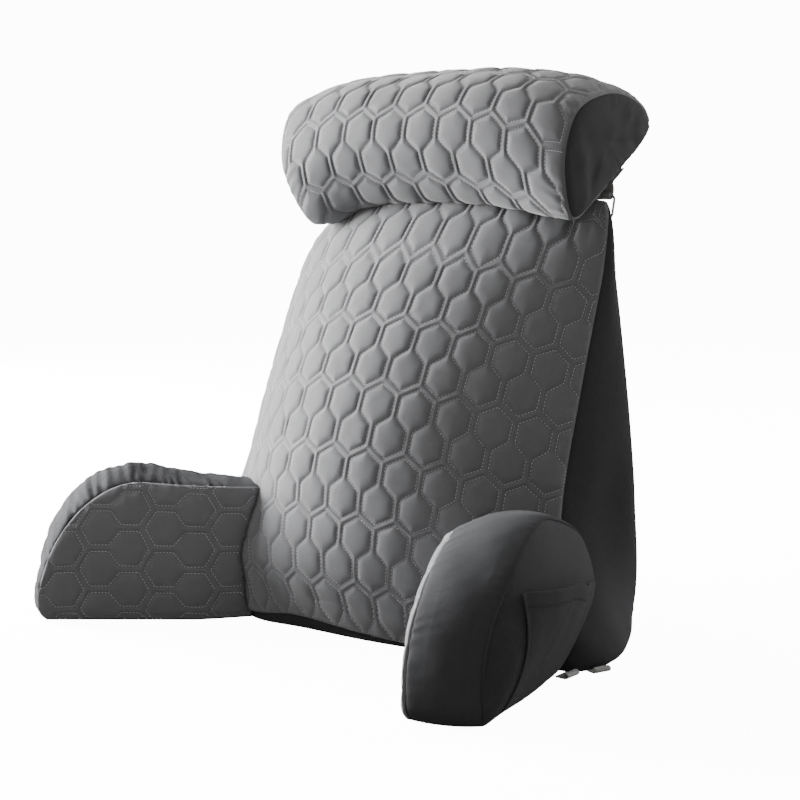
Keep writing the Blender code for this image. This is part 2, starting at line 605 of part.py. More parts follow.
def roll_strap_path(x):
    """Down from the cover's underside at this x, clear of its cells, to the ring."""
    outer, around = roll_cover_grids()[1:]
    rows = [np.argmin(np.abs(around - way)) for way in STRAP_SEAT]
    under = outer[:, rows[1]:rows[0] + 1]
    band = np.abs(under[:, :, 0].mean(axis=1) - x) < STRAP_WIDTH
    start, end = (under[band, column, 1:].mean(axis=0) for column in (-1, 0))
    run = (end - start) / np.linalg.norm(end - start)
    away = np.array([-run[1], run[0]])
    lift = max((under[band, :, 1:] - start).reshape(-1, 2) @ away) + GAP + 0.5 * STRAP_THICK
    seat = [start + (end - start) * share + away * lift for share in (0.0, 0.5, 1.0)]
    loop = np.array(ROLL_STRAP_LOOP) * CM
    bend = 0.5 * (seat[-1] + loop[0]) + away * 0.5 * STRAP_THICK
    return np.vstack([seat, [bend], loop]) / CM


def webbing(name, path, centre, across, width=STRAP_WIDTH, thick=STRAP_THICK):
    """A flat band along a path of (outward, up) points, lying in the plane square to `across`."""
    across = Vector(across).normalized()
    outward = across.cross(Vector((0.0, 0.0, 1.0)))
    path = np.array(path) * CM
    slopes = np.gradient(path, axis=0)
    rings = []
    for (out, up), (run_out, run_up) in zip(path, slopes):
        length = math.hypot(run_out, run_up)
        normal = (-run_up / length, run_out / length)
        ring = []
        for side, face in ((-1, -1), (1, -1), (1, 1), (-1, 1)):
            shift = 0.5 * thick * face
            spot = (Vector(centre) + across * (0.5 * width * side)
                    + outward * (out + normal[0] * shift) + Vector((0, 0, up + normal[1] * shift)))
            ring.append(spot)
        rings.append(ring)
    return loft(name, rings)


def ring_wire(name, centre, lean):
    """A rounded rectangular ring of round wire."""
    curve = bpy.data.curves.new(name, "CURVE")
    curve.dimensions = "3D"
    curve.bevel_depth = RING_WIRE / 2
    curve.bevel_resolution = 2
    spline = curve.splines.new("POLY")
    corner = 0.5 * CM
    points = []
    for quarter in range(4):
        sx = 1 if quarter in (0, 3) else -1
        sz = 1 if quarter in (0, 1) else -1
        for step in range(4):
            angle = math.radians(90 * quarter + 30 * step)
            points.append((sx * (RING_WIDTH / 2 - corner) + corner * math.cos(angle), 0.0,
                           sz * (RING_HEIGHT / 2 - corner) + corner * math.sin(angle), 1.0))
    spline.points.add(len(points) - 1)
    for spot, place in zip(spline.points, points):
        spot.co = place
    spline.use_cyclic_u = True
    turn = Matrix.Rotation(lean, 4, "X")
    for spot in spline.points:
        place = turn @ Vector(spot.co[:3]) + Vector(centre)
        spot.co = (*place, 1.0)
    return curve


# Path of a tab from the seam round the back's foot, outward and up, in centimetres, its end curled
TAB_PATH = [(0.0, 0.13), (0.5, 0.13), (1.0, 0.16), (1.35, 0.3), (1.5, 0.6), (1.35, 0.9), (1.05, 1.0)]


def base_tab(name, y):
    """A short tab out of the right edge of the back's foot, square to that edge."""
    ring = back_ring(0.0, 0.0, 0.0)
    edge = ring[len(BACK_COLUMNS) - 1:len(BACK_COLUMNS) + SIDE_STEPS]
    places = y + np.linspace(-0.5, 0.5, 9) * TAB_WIDTH
    spots = [Vector((np.interp(place, edge[:, 1], edge[:, 0]), place, 0.0)) for place in places]
    across = (spots[-1] - spots[0]).normalized()
    away = across.cross(Vector((0.0, 0.0, 1.0)))
    middle = spots[len(spots) // 2]
    furthest = max((spot - middle).dot(away) for spot in spots)
    return webbing(name, TAB_PATH, middle + away * (furthest + TAB_AIR), across, width=TAB_WIDTH)


def add_cut(item, cutter):
    cut = item.modifiers.new("clear of the back", "BOOLEAN")
    cut.operation = "DIFFERENCE"
    cut.object = cutter
    cut.solver = "EXACT"


# ---------------------------------------------------------------------------------------------
# Assembly
# ---------------------------------------------------------------------------------------------
def build():
    clear_scene()
    pieces = bpy.data.collections.new("Reading pillow with arms")
    cutters = bpy.data.collections.new("Cutters")
    for group in (pieces, cutters):
        bpy.context.scene.collection.children.link(group)
    root = bpy.data.objects.new("reading_pillow", None)
    root.location = (-0.5 * (REACH_LEFT + REACH_RIGHT), -0.5 * (REACH_FRONT + REACH_REAR), 0.0)
    pieces.objects.link(root)

    plain = make_material("Charcoal cloth", CHARCOAL)
    quilted = make_material("Quilted grey cloth", QUILT_GREY)
    band = make_material("Light webbing", WEBBING)
    steel = make_material("Steel wire", STEEL, roughness=0.3, metallic=1.0)

    add_object("back_cushion", back_body("back_cushion"), plain, pieces, root)
    inner, outer = back_panel_grids()
    add_object("back_front_panel", quilted_shell("back_front_panel", inner, outer), quilted, pieces, root)

    room = back_body("back_clearance", GAP, PANEL_SKIN + PANEL_PUFF + GAP)
    clearance = add_object("back_clearance", room, plain, cutters, root)
    clearance.hide_render = True
    clearance.display_type = "WIRE"

    for hand in ("left", "right"):
        arm = Arm(hand)
        body, panel = f"arm_{hand}", f"arm_{hand}_panel"
        add_cut(add_object(body, arm.body(body), plain, pieces, root), clearance)
        add_cut(add_object(panel, arm.panel(panel), quilted, pieces, root), clearance)
    add_cut(add_object("arm_pocket", Arm("right").pocket("arm_pocket"), plain, pieces, root), clearance)

    add_object("roll_cushion", roll_body("roll_cushion"), plain, pieces, root)
    inner, outer, _ = roll_cover_grids()
    add_object("roll_cover", quilted_shell("roll_cover", inner, outer), quilted, pieces, root)

    for name, y in (("base_tab_front", TAB_FRONT_Y), ("base_tab_rear", TAB_REAR_Y)):
        add_object(name, base_tab(name, y), band, pieces, root)

    for side, x in (("left", STRAP_X_LEFT), ("right", STRAP_X_RIGHT)):
        for holder, path in (("roll", roll_strap_path(x)), ("back", BACK_STRAP_PATH)):
            name = f"{holder}_strap_{side}"
            add_object(name, webbing(name, path, (x, 0, 0), (-1, 0, 0)), band, pieces, root)
        name = f"strap_ring_{side}"
        add_object(name, ring_wire(name, (x, RING_Y, RING_Z), RING_LEAN), steel, pieces, root)


build()
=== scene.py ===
# Reading pillow with arms: a stuffed wedge of a back with a quilted front, two stuffed arms sewn into its
# sides, a patch pocket on the right arm, and a quilted head roll that hangs from two webbing straps.
# Shapes are worked out in centimetres from the middle of the back's foot, and placed in metres.
from math import cos, pi, radians, sin, tau

import bmesh
import bpy
import numpy as np
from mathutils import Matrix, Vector


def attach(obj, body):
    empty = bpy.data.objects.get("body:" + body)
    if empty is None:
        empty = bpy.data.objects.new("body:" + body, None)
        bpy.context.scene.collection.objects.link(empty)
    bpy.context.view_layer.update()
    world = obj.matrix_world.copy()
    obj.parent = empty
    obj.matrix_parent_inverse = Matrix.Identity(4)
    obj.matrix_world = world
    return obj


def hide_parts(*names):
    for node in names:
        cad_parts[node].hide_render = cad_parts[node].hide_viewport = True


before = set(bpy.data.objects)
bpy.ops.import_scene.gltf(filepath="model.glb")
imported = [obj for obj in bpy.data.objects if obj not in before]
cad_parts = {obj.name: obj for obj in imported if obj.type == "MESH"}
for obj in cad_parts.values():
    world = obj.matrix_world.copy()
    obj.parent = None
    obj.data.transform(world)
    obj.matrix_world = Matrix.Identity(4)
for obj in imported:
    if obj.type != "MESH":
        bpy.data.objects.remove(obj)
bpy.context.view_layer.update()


# ----------------------------------
# The stuffed back. One wedge-shaped cushion cover of brushed charcoal cloth, sewn from a front, two
# sides and a rear and stuffed hard with fibre, so its front bulges. It stands on its own flat foot.
FOOT_TO_FRAME = np.array([-0.205, -4.84, 0])  # from the back's foot to the middle of the whole
UPWARD = np.array([0, 0, 1])
BACK_REAR = 20
BACK_RUN = 55  # run of cloth from the floor, up the front and over to the rear top edge
SHOULDER = 44  # above this the front rolls over to the rear
TUCK = 5  # below this it curves under to the floor
LEAN = 0.318  # how far the front leans back per cm of height
CROWN, CROWN_HEIGHT = 11.4, 25  # how far its middle stands proud of its seams, and where
CROWN_FALLS = (0.0388, 0.00894)  # how that falls with the height above, and with its square
CROWN_POWER = 2.15  # and towards the seams, as a power of u
FRONT_WIDTHS = ([0, 15, 30, 38, 44, 49, 55],  # runs, then its right and left halves
                [30.8, 26.4, 25.7, 25.7, 25.7, 25.4, 24.6], [28.6, 25.2, 23.9, 23.1, 22.1, 20.2, 18.2])
REAR_WIDTHS = ([0, 3, 18, 28, 37, 47, 55],
               [28.4, 29.2, 29.3, 28.4, 27.3, 25.9, 24.6], [28.4, 29.2, 28.8, 26.8, 24.8, 22, 18.2])
WEAVE = 0.0011  # from one twill line to the next, in metres
CHARCOAL = ((0.037, 0.037, 0.040), (0.051, 0.052, 0.055))  # each finish: its dark and light shade


def smooth_table(x, knots, values):
    """A smooth curve through a short table, in cubic pieces with their neighbours' slopes."""
    knots, values = np.asarray(knots, float), np.asarray(values, float)
    slopes = np.gradient(values, knots)
    x = np.clip(x, knots[0], knots[-1])
    i = np.clip(np.searchsorted(knots, x, side="right") - 1, 0, len(knots) - 2)
    width = knots[i + 1] - knots[i]
    t = (x - knots[i]) / width
    return ((2 * t**3 - 3 * t**2 + 1) * values[i] + (t**3 - 2 * t**2 + t) * width * slopes[i]
            + (3 * t**2 - 2 * t**3) * values[i + 1] + (t**3 - t**2) * width * slopes[i + 1])


def ramp(x, start, end):
    """0 up to the start, 1 from the end on, and straight between."""
    return np.clip((x - start) / (end - start), 0, 1)


def hump(x, middle, reach):
    """1 in the middle, fading to nothing at about twice the reach from it."""
    return np.exp(-((x - middle) / reach)**2)


def rising(x, reach):
    """0 at 0, rising to nearly 1 over three times the reach."""
    return 1 - np.exp(-x / reach)


def as_points(*parts):
    """Coordinates, each a grid, a row, a column or one value, as one grid of points."""
    return np.stack(np.broadcast_arrays(*parts), axis=-1)


def half_width(widths, side, run):
    """Half the width of the front or the rear, to one side, at a run of cloth up from the floor."""
    runs, right, left = widths
    return np.where(side > 0, smooth_table(run, runs, right), smooth_table(run, runs, left))


def top_height(u):
    """Height of the rear top edge: a low arch, its left corner lower."""
    return 53.1 - np.where(u < 0, 2.6 * u**2 + 1.3 * np.abs(u)**3, 1.3 * u**2)


def back_front(u, run):
    """The bulging front: u goes from -1 at the left seam to 1 at the right, and run up from the floor.
    It leans back evenly at its seams and bulges by a crown that falls off to them as a power of u."""

    def leaning(height):
        above = height - CROWN_HEIGHT
        crown = CROWN - CROWN_FALLS[0] * above - CROWN_FALLS[1] * above**2
        foot = 3.5 * np.abs(u)**3 * hump(height, 0, 7)
        belly = 1.8 * hump(height, 8, 5.5) * (1 - u**2)**1.5 * (1 - 0.9 * u)
        power = CROWN_POWER + 0.9 * np.maximum(0, -u) * hump(height, 7, 6)
        return 4 + LEAN * height - crown * (1 - np.abs(u)**power) - foot - belly

    turn = 0.5 * pi * ramp(run, 0, TUCK)
    under = 2.4 - 2 * hump(u, -0.38, 0.2)
    tuck_y = leaning(TUCK) + under * (1 - np.sin(turn)) * (1 - 0.8 * u**4)
    over, top = ramp(run, SHOULDER, BACK_RUN), top_height(u)
    crown_slope = CROWN_FALLS[0] + 2 * CROWN_FALLS[1] * (SHOULDER - CROWN_HEIGHT)
    slope = LEAN + crown_slope * (1 - np.abs(u)**CROWN_POWER)
    bend_y = np.minimum(leaning(SHOULDER) + slope * (top - SHOULDER), BACK_REAR - 0.2)
    over_y = (1 - over)**2 * leaning(SHOULDER) + 2 * over * (1 - over) * bend_y + over**2 * BACK_REAR
    over_z = (1 - over)**2 * SHOULDER + 2 * over * (1 - over) * top + over**2 * top
    y = np.where(run < TUCK, tuck_y, np.where(run > SHOULDER, over_y, leaning(run)))
    z = np.where(run < TUCK, TUCK * (1 - np.cos(turn)), np.where(run > SHOULDER, over_z, run))
    return as_points(u * half_width(FRONT_WIDTHS, u, run), y, z)


def back_side(side, w, run):
    """A side panel, from the front seam (w = 0) to the rear one (w = 1), bowed out most near its foot."""
    w = np.asarray(w)
    corner = back_front(side, run)
    tail = as_points(side * half_width(REAR_WIDTHS, side, run), BACK_REAR,
                     run / BACK_RUN * top_height(side))
    flare = (0.5 + 4.4 * hump(run, 0, 5.5)) * (1 - (run / BACK_RUN)**6)
    flare = flare * (1 - 0.45 * hump(run, 0, 1.7))
    point = corner + (tail - corner) * w[..., None]
    point[..., 0] += side * flare * np.sin(pi * w**0.7)
    return point


def back_rear(u, run):
    """The rear: upright, bowed a little by the stuffing."""
    lift = run / BACK_RUN
    bow = 1.5 * (1 - u**2) * np.maximum(0, np.sin(pi * lift))**1.6
    return as_points(u * half_width(REAR_WIDTHS, u, run), BACK_REAR + bow, lift * top_height(u))


def normals_of(points):
    """Unit normals of a grid of points, rows along axis 0 and columns along axis 1."""
    normals = np.cross(np.gradient(points, axis=1), np.gradient(points, axis=0))
    return normals / np.maximum(np.linalg.norm(normals, axis=2, keepdims=True), 1e-12)


def outward_normals(points, facing, at=None):
    """The same, all turned so that the one at a grid place, or else in the middle, faces `facing`."""
    normals = normals_of(points)
    at = at or (points.shape[0] // 2, points.shape[1] // 2)
    return normals if normals[at] @ facing > 0 else -normals


def lengths(points, axis):
    """Length of cloth along one axis of a grid, or along a line, from its first point."""
    steps = np.linalg.norm(np.diff(points, axis=axis), axis=-1).cumsum(axis=axis)
    return np.concatenate([np.zeros_like(np.take(steps, [0], axis=axis)), steps], axis=axis)


def unevenness(a, b, size, seed):
    """A smooth uneven field of about -1 to 1: fourteen waves of about `size` in seeded directions."""
    chance = np.random.default_rng(seed)
    total = 0
    for heading, reach, phase in zip(chance.uniform(0, tau, 14), chance.uniform(0.6, 1.7, 14),
                                     chance.uniform(0, tau, 14)):
        turns = tau / (size * reach)
        total = total + np.cos(turns * (cos(heading) * a + sin(heading) * b) + phase)
    return total / 3.6


def puckers(along, away, seed, pitch=1.5, reach=1.3):
    """Small gathers across a seam: waves along it that fade with the distance from it, unevenly."""
    wave = np.sin(tau / pitch * (along + 0.5 * unevenness(along, 0, 5, seed)))
    strength = np.clip(0.55 + 0.6 * unevenness(along, 3, 6, seed + 1), 0, 1.4)
    return wave * strength * np.exp(-np.abs(away) / reach)


def quads(rows, columns, first=0, wrap=False, flip=False):
    """Faces of a grid of points numbered row by row; a wrapped one joins its last column to its first."""
    i = np.arange(rows - 1)[:, None]
    j = np.arange(columns if wrap else columns - 1)[None, :]
    k = (j + 1) % columns
    faces = as_points(i * columns + j, i * columns + k, (i + 1) * columns + k, (i + 1) * columns + j)
    return (faces[..., ::-1 if flip else 1].reshape(-1, 4) + first).tolist()


def tube_faces(rings, far_end=True):
    """Faces of a tube of rings, closed flat at its first ring and, if asked, at its last."""
    rows, columns = rings.shape[:2]
    ends = [list(range(columns))[::-1], list(range((rows - 1) * columns, rows * columns))]
    return quads(rows, columns, wrap=True) + ends[:2 if far_end else 1]


def put_in_scene(name, data):
    """A new object for a mesh, a light or a camera."""
    thing = bpy.data.objects.new(name, data)
    bpy.context.scene.collection.objects.link(thing)
    return thing


def make_piece(name, points, faces, cloth, finish, weld=True, sharp=60):
    """One piece of the pillow: points in cm, faces, and the points' places on the flat cloth in cm."""
    mesh = bpy.data.meshes.new(name)
    mesh.from_pydata(((points.reshape(-1, 3) + FOOT_TO_FRAME) * 0.01).tolist(), [], faces)
    corner_of = np.empty(len(mesh.loops), int)
    mesh.loops.foreach_get("vertex_index", corner_of)
    flat = cloth.reshape(-1, 2)[corner_of] * 0.01
    mesh.uv_layers.new(name="cloth").data.foreach_set("uv", flat.astype(np.float32).ravel())
    if weld:
        shape = bmesh.new()
        shape.from_mesh(mesh)
        bmesh.ops.remove_doubles(shape, verts=shape.verts, dist=2e-5)
        bmesh.ops.dissolve_degenerate(shape, edges=shape.edges, dist=1e-6)
        bmesh.ops.recalc_face_normals(shape, faces=shape.faces)
        if shape.calc_volume(signed=True) < 0:
            bmesh.ops.reverse_faces(shape, faces=shape.faces)
        shape.to_mesh(mesh)
        shape.free()
    mesh.shade_smooth()
    mesh.set_sharp_from_angle(angle=radians(sharp))
    mesh.materials.append(finish.material)
    piece = put_in_scene(name, mesh)
    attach(piece, "root")
    return piece


class Amount:
    """A value that varies over a finish, held as a node's socket; arithmetic on it adds Math nodes."""

    def __init__(self, finish, socket):
        self.finish, self.socket = finish, socket

    def joined(self, operation, other=0):
        return self.finish.node("ShaderNodeMath", {"operation": operation}, {0: self, 1: other})

    def __add__(self, other):
        return self.joined("ADD", other)

    def __mul__(self, other):
        return self.joined("MULTIPLY", other)

    __radd__, __rmul__ = __add__, __mul__

    def sine(self):
        return self.joined("SINE")


class Finish:
    """One finish: a Principled surface with steady values, and nodes for what varies over it."""

    def __init__(self, name, slot=None, **steady):
        self.slot = slot
        self.material = bpy.data.materials.new(name)
        self.material.use_nodes = True
        self.nodes = self.material.node_tree.nodes
        self.links = self.material.node_tree.links
        self.surface = self.nodes["Principled BSDF"]
        for socket, value in steady.items():
            self.surface.inputs[socket.replace("_", " ")].default_value = value

    def node(self, kind, settings, sockets, output=0):
        """Adds a node of any kind: its settings first, then the values or links of its sockets."""
        node = self.nodes.new(kind)
        for setting, value in settings.items():
            setattr(node, setting, value)
        for socket, value in sockets.items():
            if isinstance(value, Amount):
                self.links.new(value.socket, node.inputs[socket])
            else:
                node.inputs[socket].default_value = value
        return Amount(self, node.outputs[output])

    def place_on_cloth(self):
        """The two directions of the flat cloth, in metres."""
        flat = self.node("ShaderNodeUVMap", {"uv_map": "cloth"}, {})
        return (self.node("ShaderNodeSeparateXYZ", {}, {0: flat}, way) for way in (0, 1))

    def cloudiness(self, size, detail=3):
        """Soft noise of about this size in metres, from the piece's own place."""
        spot = self.node("ShaderNodeTexCoord", {}, {}, 3)
        return self.node("ShaderNodeTexNoise", {},
                         {"Vector": spot, "Scale": 1 / size, "Detail": detail, "Roughness": 0.55})

    def dress(self, share, colours, roughness, relief, depth):
        """Its colour at a share between a dark and a light one, its roughness, and the light and shade
        of a fine relief `depth` metres deep."""
        dark, light = ((*colour, 1) for colour in colours)
        mix = self.node("ShaderNodeMix", {"data_type": "RGBA"}, {0: share, 6: dark, 7: light}, 2)
        bump = self.node("ShaderNodeBump", {}, {"Height": relief, "Distance": depth, "Strength": 1})
        for socket, value in (("Base Color", mix), ("Roughness", roughness), ("Normal", bump)):
            self.links.new(value.socket, self.surface.inputs[socket])


def brushed_cloth(name, slot, colours, sheen, gloss):
    """Brushed cloth: a fine twill whose threads catch light unevenly, with a soft nap over it."""
    finish = Finish(name, slot, Sheen_Weight=sheen, Sheen_Roughness=0.42, Specular_IOR_Level=gloss)
    warp, weft = finish.place_on_cloth()
    turns = tau / WEAVE
    twill = (warp * turns + weft * (0.5 * turns)).sine() * (weft * turns).sine()
    nap = finish.cloudiness(0.0016, 2)
    patches = finish.cloudiness(0.045)
    finish.dress(0.5 * patches + 0.35 * nap + 0.09 * twill + 0.05, colours, 0.74 + 0.16 * nap,
                 0.5 * twill + nap + 2.2 * finish.cloudiness(0.006, 2), 0.00016)
    return finish


def stuffed_back():
    """Rings of cloth round the wedge, front, right side, rear and left side, with the sides swelling
    between their seams and uneven where the stuffing lies; the foot stays flat."""
    run = np.concatenate([np.linspace(0, TUCK, 26)[:-1], np.linspace(TUCK, SHOULDER, 80)[:-1],
                          np.linspace(SHOULDER, BACK_RUN, 34)])[:, None]
    u = np.sin(np.linspace(-0.5 * pi, 0.5 * pi, 65))
    places = np.linspace(0, 1, 47)[1:-1]
    sides = []
    for side, w, seed in ((1, places, 11), (-1, places[::-1], 23)):
        panel = back_side(side, w, run)
        width = np.linalg.norm(back_side(side, 1, run) - back_side(side, 0, run), axis=2)
        away = np.minimum(w, 1 - w) * width
        up = lengths(panel, 0)
        uneven = 0.16 * unevenness(w * width, 0.6 * up, 9, seed + 3) * rising(up, 1.4) * rising(away, 1)
        swell = 0.16 * rising(away, 0.7) + 0.07 * puckers(up, away, seed) + uneven
        closing = ramp(BACK_RUN - run, 0, 3) * ramp(run, 0, 1.2)
        out = normals_of(panel)
        out = out * np.where(out[..., :1] * side < 0, -1, 1)
        sides.append(panel + out * (swell * closing)[..., None])
    rear = back_rear(u[::-1], run)
    steady = np.sin(pi * run / BACK_RUN) * (1 - u[::-1]**4)
    rear[..., 1] += 0.26 * steady * unevenness(rear[..., 0], rear[..., 2], 13, seed=31)
    away = half_width(REAR_WIDTHS, rear[..., 0], run) - np.abs(rear[..., 0])
    rear[..., 1] += 0.09 * puckers(rear[..., 2], away, seed=37) * rising(away, 0.4) * (steady > 0)
    return np.concatenate([back_front(u, run), sides[0], rear, sides[1]], axis=1)


plain_cloth = brushed_cloth("charcoal brushed cloth", "charcoal_cloth", CHARCOAL, sheen=0.02, gloss=0.06)
body = stuffed_back()
body_flat = as_points(lengths(body, 1), lengths(body, 0))
middle = body[0].mean(axis=0)
foot = middle + (body[0] - middle) * np.array([0.05, 0.25, 0.5, 0.75, 0.9, 0.97])[:, None, None]
body = np.concatenate([foot, body])
back_cloth = make_piece("back_cloth", body, tube_faces(body, far_end=False),
                        np.concatenate([foot[..., :2], body_flat]), plain_cloth)
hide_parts("back_cushion")


# ----------------------------------
# The quilted front of the back. A top cloth on wadding, machine-quilted in pairs of honeycomb rows with
# a light grey thread, two stitch lines side by side between neighbouring cells, then sewn in all round.
CELL = 5.01  # from one cell to the next in a row
PAIR = 8.06  # from one pair of rows to the next
STEP = 3.73  # from the upper to the lower row of a pair
CHANNEL = 0.80  # between two neighbouring stitch lines
AIR = 0.03  # between two pieces that touch
STITCH = 0.42  # from one stitch to the next
DASH = 0.36  # half the share of a stitch's length that its dash takes
BACKING_STEP = 4  # a quilt's backing keeps one grid point in this many
PANEL_HIGH = BACK_RUN - 1.2
PANEL_SHIFT = 1.98 * CELL  # from the middle of a cell to the middle of the front
FORWARD = np.array([0, -1, 0])
QUILT_GREY = ((0.105, 0.107, 0.112), (0.150, 0.152, 0.158))
THREAD_GREY = ((0.46, 0.46, 0.47), (0.62, 0.62, 0.62))


def panel_low(u):
    """Run at which the quilted panel ends above the floor, lower to the right and by the left arm."""
    rightward = ramp(u, -0.3, 0.7)
    return 3.3 - 1.5 * rightward**2 * (3 - 2 * rightward) - 1.3 * hump(u, -0.42, 0.22)


def stitch_corners():
    """One repeat of the stitch line, from the top of an upper cell down to the foot of a lower one,
    and back up as its mirror image."""
    half = (CELL - CHANNEL) / 2
    tip, shoulder, mid = 1.15 * half, 0.56 * half, CELL / 2
    down = np.array([(0, -tip), (half, -shoulder), (half, shoulder), (mid - half, STEP - shoulder),
                     (mid - half, STEP + shoulder), (mid, STEP + tip)])
    return np.concatenate([down, down[-2::-1] * [-1, 1] + [CELL, 0]])


def stitch_distance(across, down):
    """Distance from each place on the cloth to the nearest stitch line."""
    corners = stitch_corners()
    across = np.mod(across, CELL)
    down = np.mod(down + PAIR / 2 - STEP / 2, PAIR) - PAIR / 2 + STEP / 2
    nearest = np.full(np.shape(across), 9)
    for start, end in zip(corners[:-1], corners[1:]):
        for shift in (-CELL, 0, CELL):
            for drop in (-PAIR, 0, PAIR):
                px, py = across - start[0] - shift, down - start[1] - drop
                dx, dy = end - start
                t = np.clip((px * dx + py * dy) / (dx * dx + dy * dy), 0, 1)
                nearest = np.minimum(nearest, np.hypot(px - t * dx, py - t * dy))
    return nearest


def quilt_rise(across, down, edge, skin, seed, gathers):
    """Height of the quilting over its cushion: wadding swells between stitch lines and is drawn down to
    the seam round the piece, where the cloth gathers a little. `edge` is the distance from that seam."""
    swell = 0.30 * rising(stitch_distance(across, down), 0.36)
    swell = swell * (1 + 0.12 * unevenness(across, down, 6, seed)) * rising(edge, 0.9)
    fold = np.sqrt(1 - (1 - ramp(edge, 0, skin))**2)
    return AIR + skin * fold + swell + 0.10 * rising(edge, 1.5) + gathers * rising(edge, 0.3)


def sampled(grid, i, j):
    """A grid's values between its points, by their four neighbours."""
    i = np.clip(i, 0, grid.shape[0] - 1.001)
    j = np.clip(j, 0, grid.shape[1] - 1.001)
    low_i, low_j = i.astype(int), j.astype(int)
    ti, tj = i - low_i, j - low_j
    if grid.ndim == 3:
        ti, tj = ti[..., None], tj[..., None]
    return ((grid[low_i, low_j] * (1 - tj) + grid[low_i, low_j + 1] * tj) * (1 - ti)
            + (grid[low_i + 1, low_j] * (1 - tj) + grid[low_i + 1, low_j + 1] * tj) * ti)


def find_on_grid(a, d, across, down):
    """Grid place of given cloth places, found step by step, and which of them lie on the piece."""
    rows, columns = across.shape
    i, j = np.full(a.shape, rows / 2), np.full(a.shape, columns / 2)
    slopes = [*np.gradient(across), *np.gradient(down)]
    for _ in range(14):
        ea, ed = a - sampled(across, i, j), d - sampled(down, i, j)
        ai, aj, di, dj = (sampled(slope, i, j) for slope in slopes)
        even = ai * dj - aj * di
        even = np.where(np.abs(even) < 1e-9, 1e-9, even)
        i = np.clip(i + (ea * dj - ed * aj) / even, 0, rows - 1)
        j = np.clip(j + (ed * ai - ea * di) / even, 0, columns - 1)
    error = np.hypot(a - sampled(across, i, j), d - sampled(down, i, j))
    inside = (i > 0.5) & (i < rows - 1.5) & (j > 0.5) & (j < columns - 1.5)
    return i, j, inside & (error < 0.05)


def stitches(across, down):
    """Both ends of every stitch on a piece whose cloth places are given, as grid places."""
    corners = stitch_corners()
    pace = lengths(corners, 0)
    count = round(pace[-1] / STITCH)
    centres = (np.arange(count) + 0.5) * pace[-1] / count
    repeats = [np.arange(places.min() // pitch - 1, places.max() // pitch + 2)
               for places, pitch in ((across, CELL), (down, PAIR))]
    shift = np.stack(np.meshgrid(*repeats, indexing="ij"), -1).reshape(-1, 1, 2)
    found = []
    for reach in (-DASH * STITCH, DASH * STITCH):
        end = as_points(*(np.interp(centres + reach, pace, corners[:, k]) for k in (0, 1)))
        spots = (end + shift * [CELL, PAIR]).reshape(-1, 2)
        found.append(find_on_grid(spots[:, 0], spots[:, 1], across, down))
    kept = found[0][2] & found[1][2]
    return [(i[kept], j[kept]) for i, j, _ in found]


def thread_piece(name, surface, across, down, facing, at):
    """Every stitch as a short spun dash that dips into the cloth at both ends."""
    (i0, j0), (i1, j1) = stitches(across, down)
    start, end = sampled(surface, i0, j0), sampled(surface, i1, j1)
    up = sampled(outward_normals(surface, facing, at), i0, j0)
    way = (end - start) / np.linalg.norm(end - start, axis=1, keepdims=True)
    side = np.cross(up, way)
    rings = [[centre + up * (lift + radius * b) + side * (radius * a)
              for a, b in ((1, 0), (0, 0.8), (-1, 0), (0, -0.8))]
             for centre, lift, radius in ((start, -0.012, 0.016), (0.5 * (start + end), 0.038, 0.042),
                                          (end, -0.012, 0.016))]
    points = np.moveaxis(np.array(rings), 2, 0)
    one = np.array(tube_faces(points[0]))
    faces = (one + 12 * np.arange(len(points))[:, None, None]).reshape(-1, 4)
    flat = as_points(np.array([[0], [0.16], [0.32]]), [0, 0.1, 0.2, 0.3])
    make_piece(name, points, faces.tolist(), np.tile(flat, (len(points), 1, 1)), thread_finish,
               weld=False, sharp=80)


def layered_piece(name, inner, outer, across, down, finish, step=1):
    """A closed layer of cloth: its outer grid, an inner one every `step` points, and a rim."""
    fine = np.arange(across.size).reshape(across.shape)
    rows, columns = fine[::step, ::step].shape
    coarse = np.arange(rows * columns).reshape(rows, columns) + across.size
    faces = quads(*across.shape) + quads(rows, columns, across.size, flip=True)
    for turn in range(4):
        edge, line = (np.rot90(grid, turn)[0].tolist() for grid in (coarse, fine))
        faces += [edge[k:k + 2] + line[k * step:(k + 1) * step + 1][::-1] for k in range(len(edge) - 1)]
    points = np.concatenate([outer.reshape(-1, 3), inner[::step, ::step].reshape(-1, 3)])
    flat = as_points(across, down)
    flat = np.concatenate([flat.reshape(-1, 2), flat[::step, ::step].reshape(-1, 2)])
    return make_piece(name, points, faces, flat, finish)


def sewn_quilt(name, face, across, down, rise, facing, at=None, hand_over=np.asarray):
    """A quilt over a cushion's face, and its stitches; gives the piece and its outer grid. Its outside
    is where the grid place `at`, or else the middle, faces `facing`."""
    out = outward_normals(face, facing, at)
    outer = hand_over(face + out * rise[..., None])
    piece = layered_piece(name, hand_over(face + out * AIR), outer, across, down, quilt_cloth, BACKING_STEP)
    thread_piece(f"{name}_thread", outer, across, down, hand_over(facing), at)
    return piece, outer


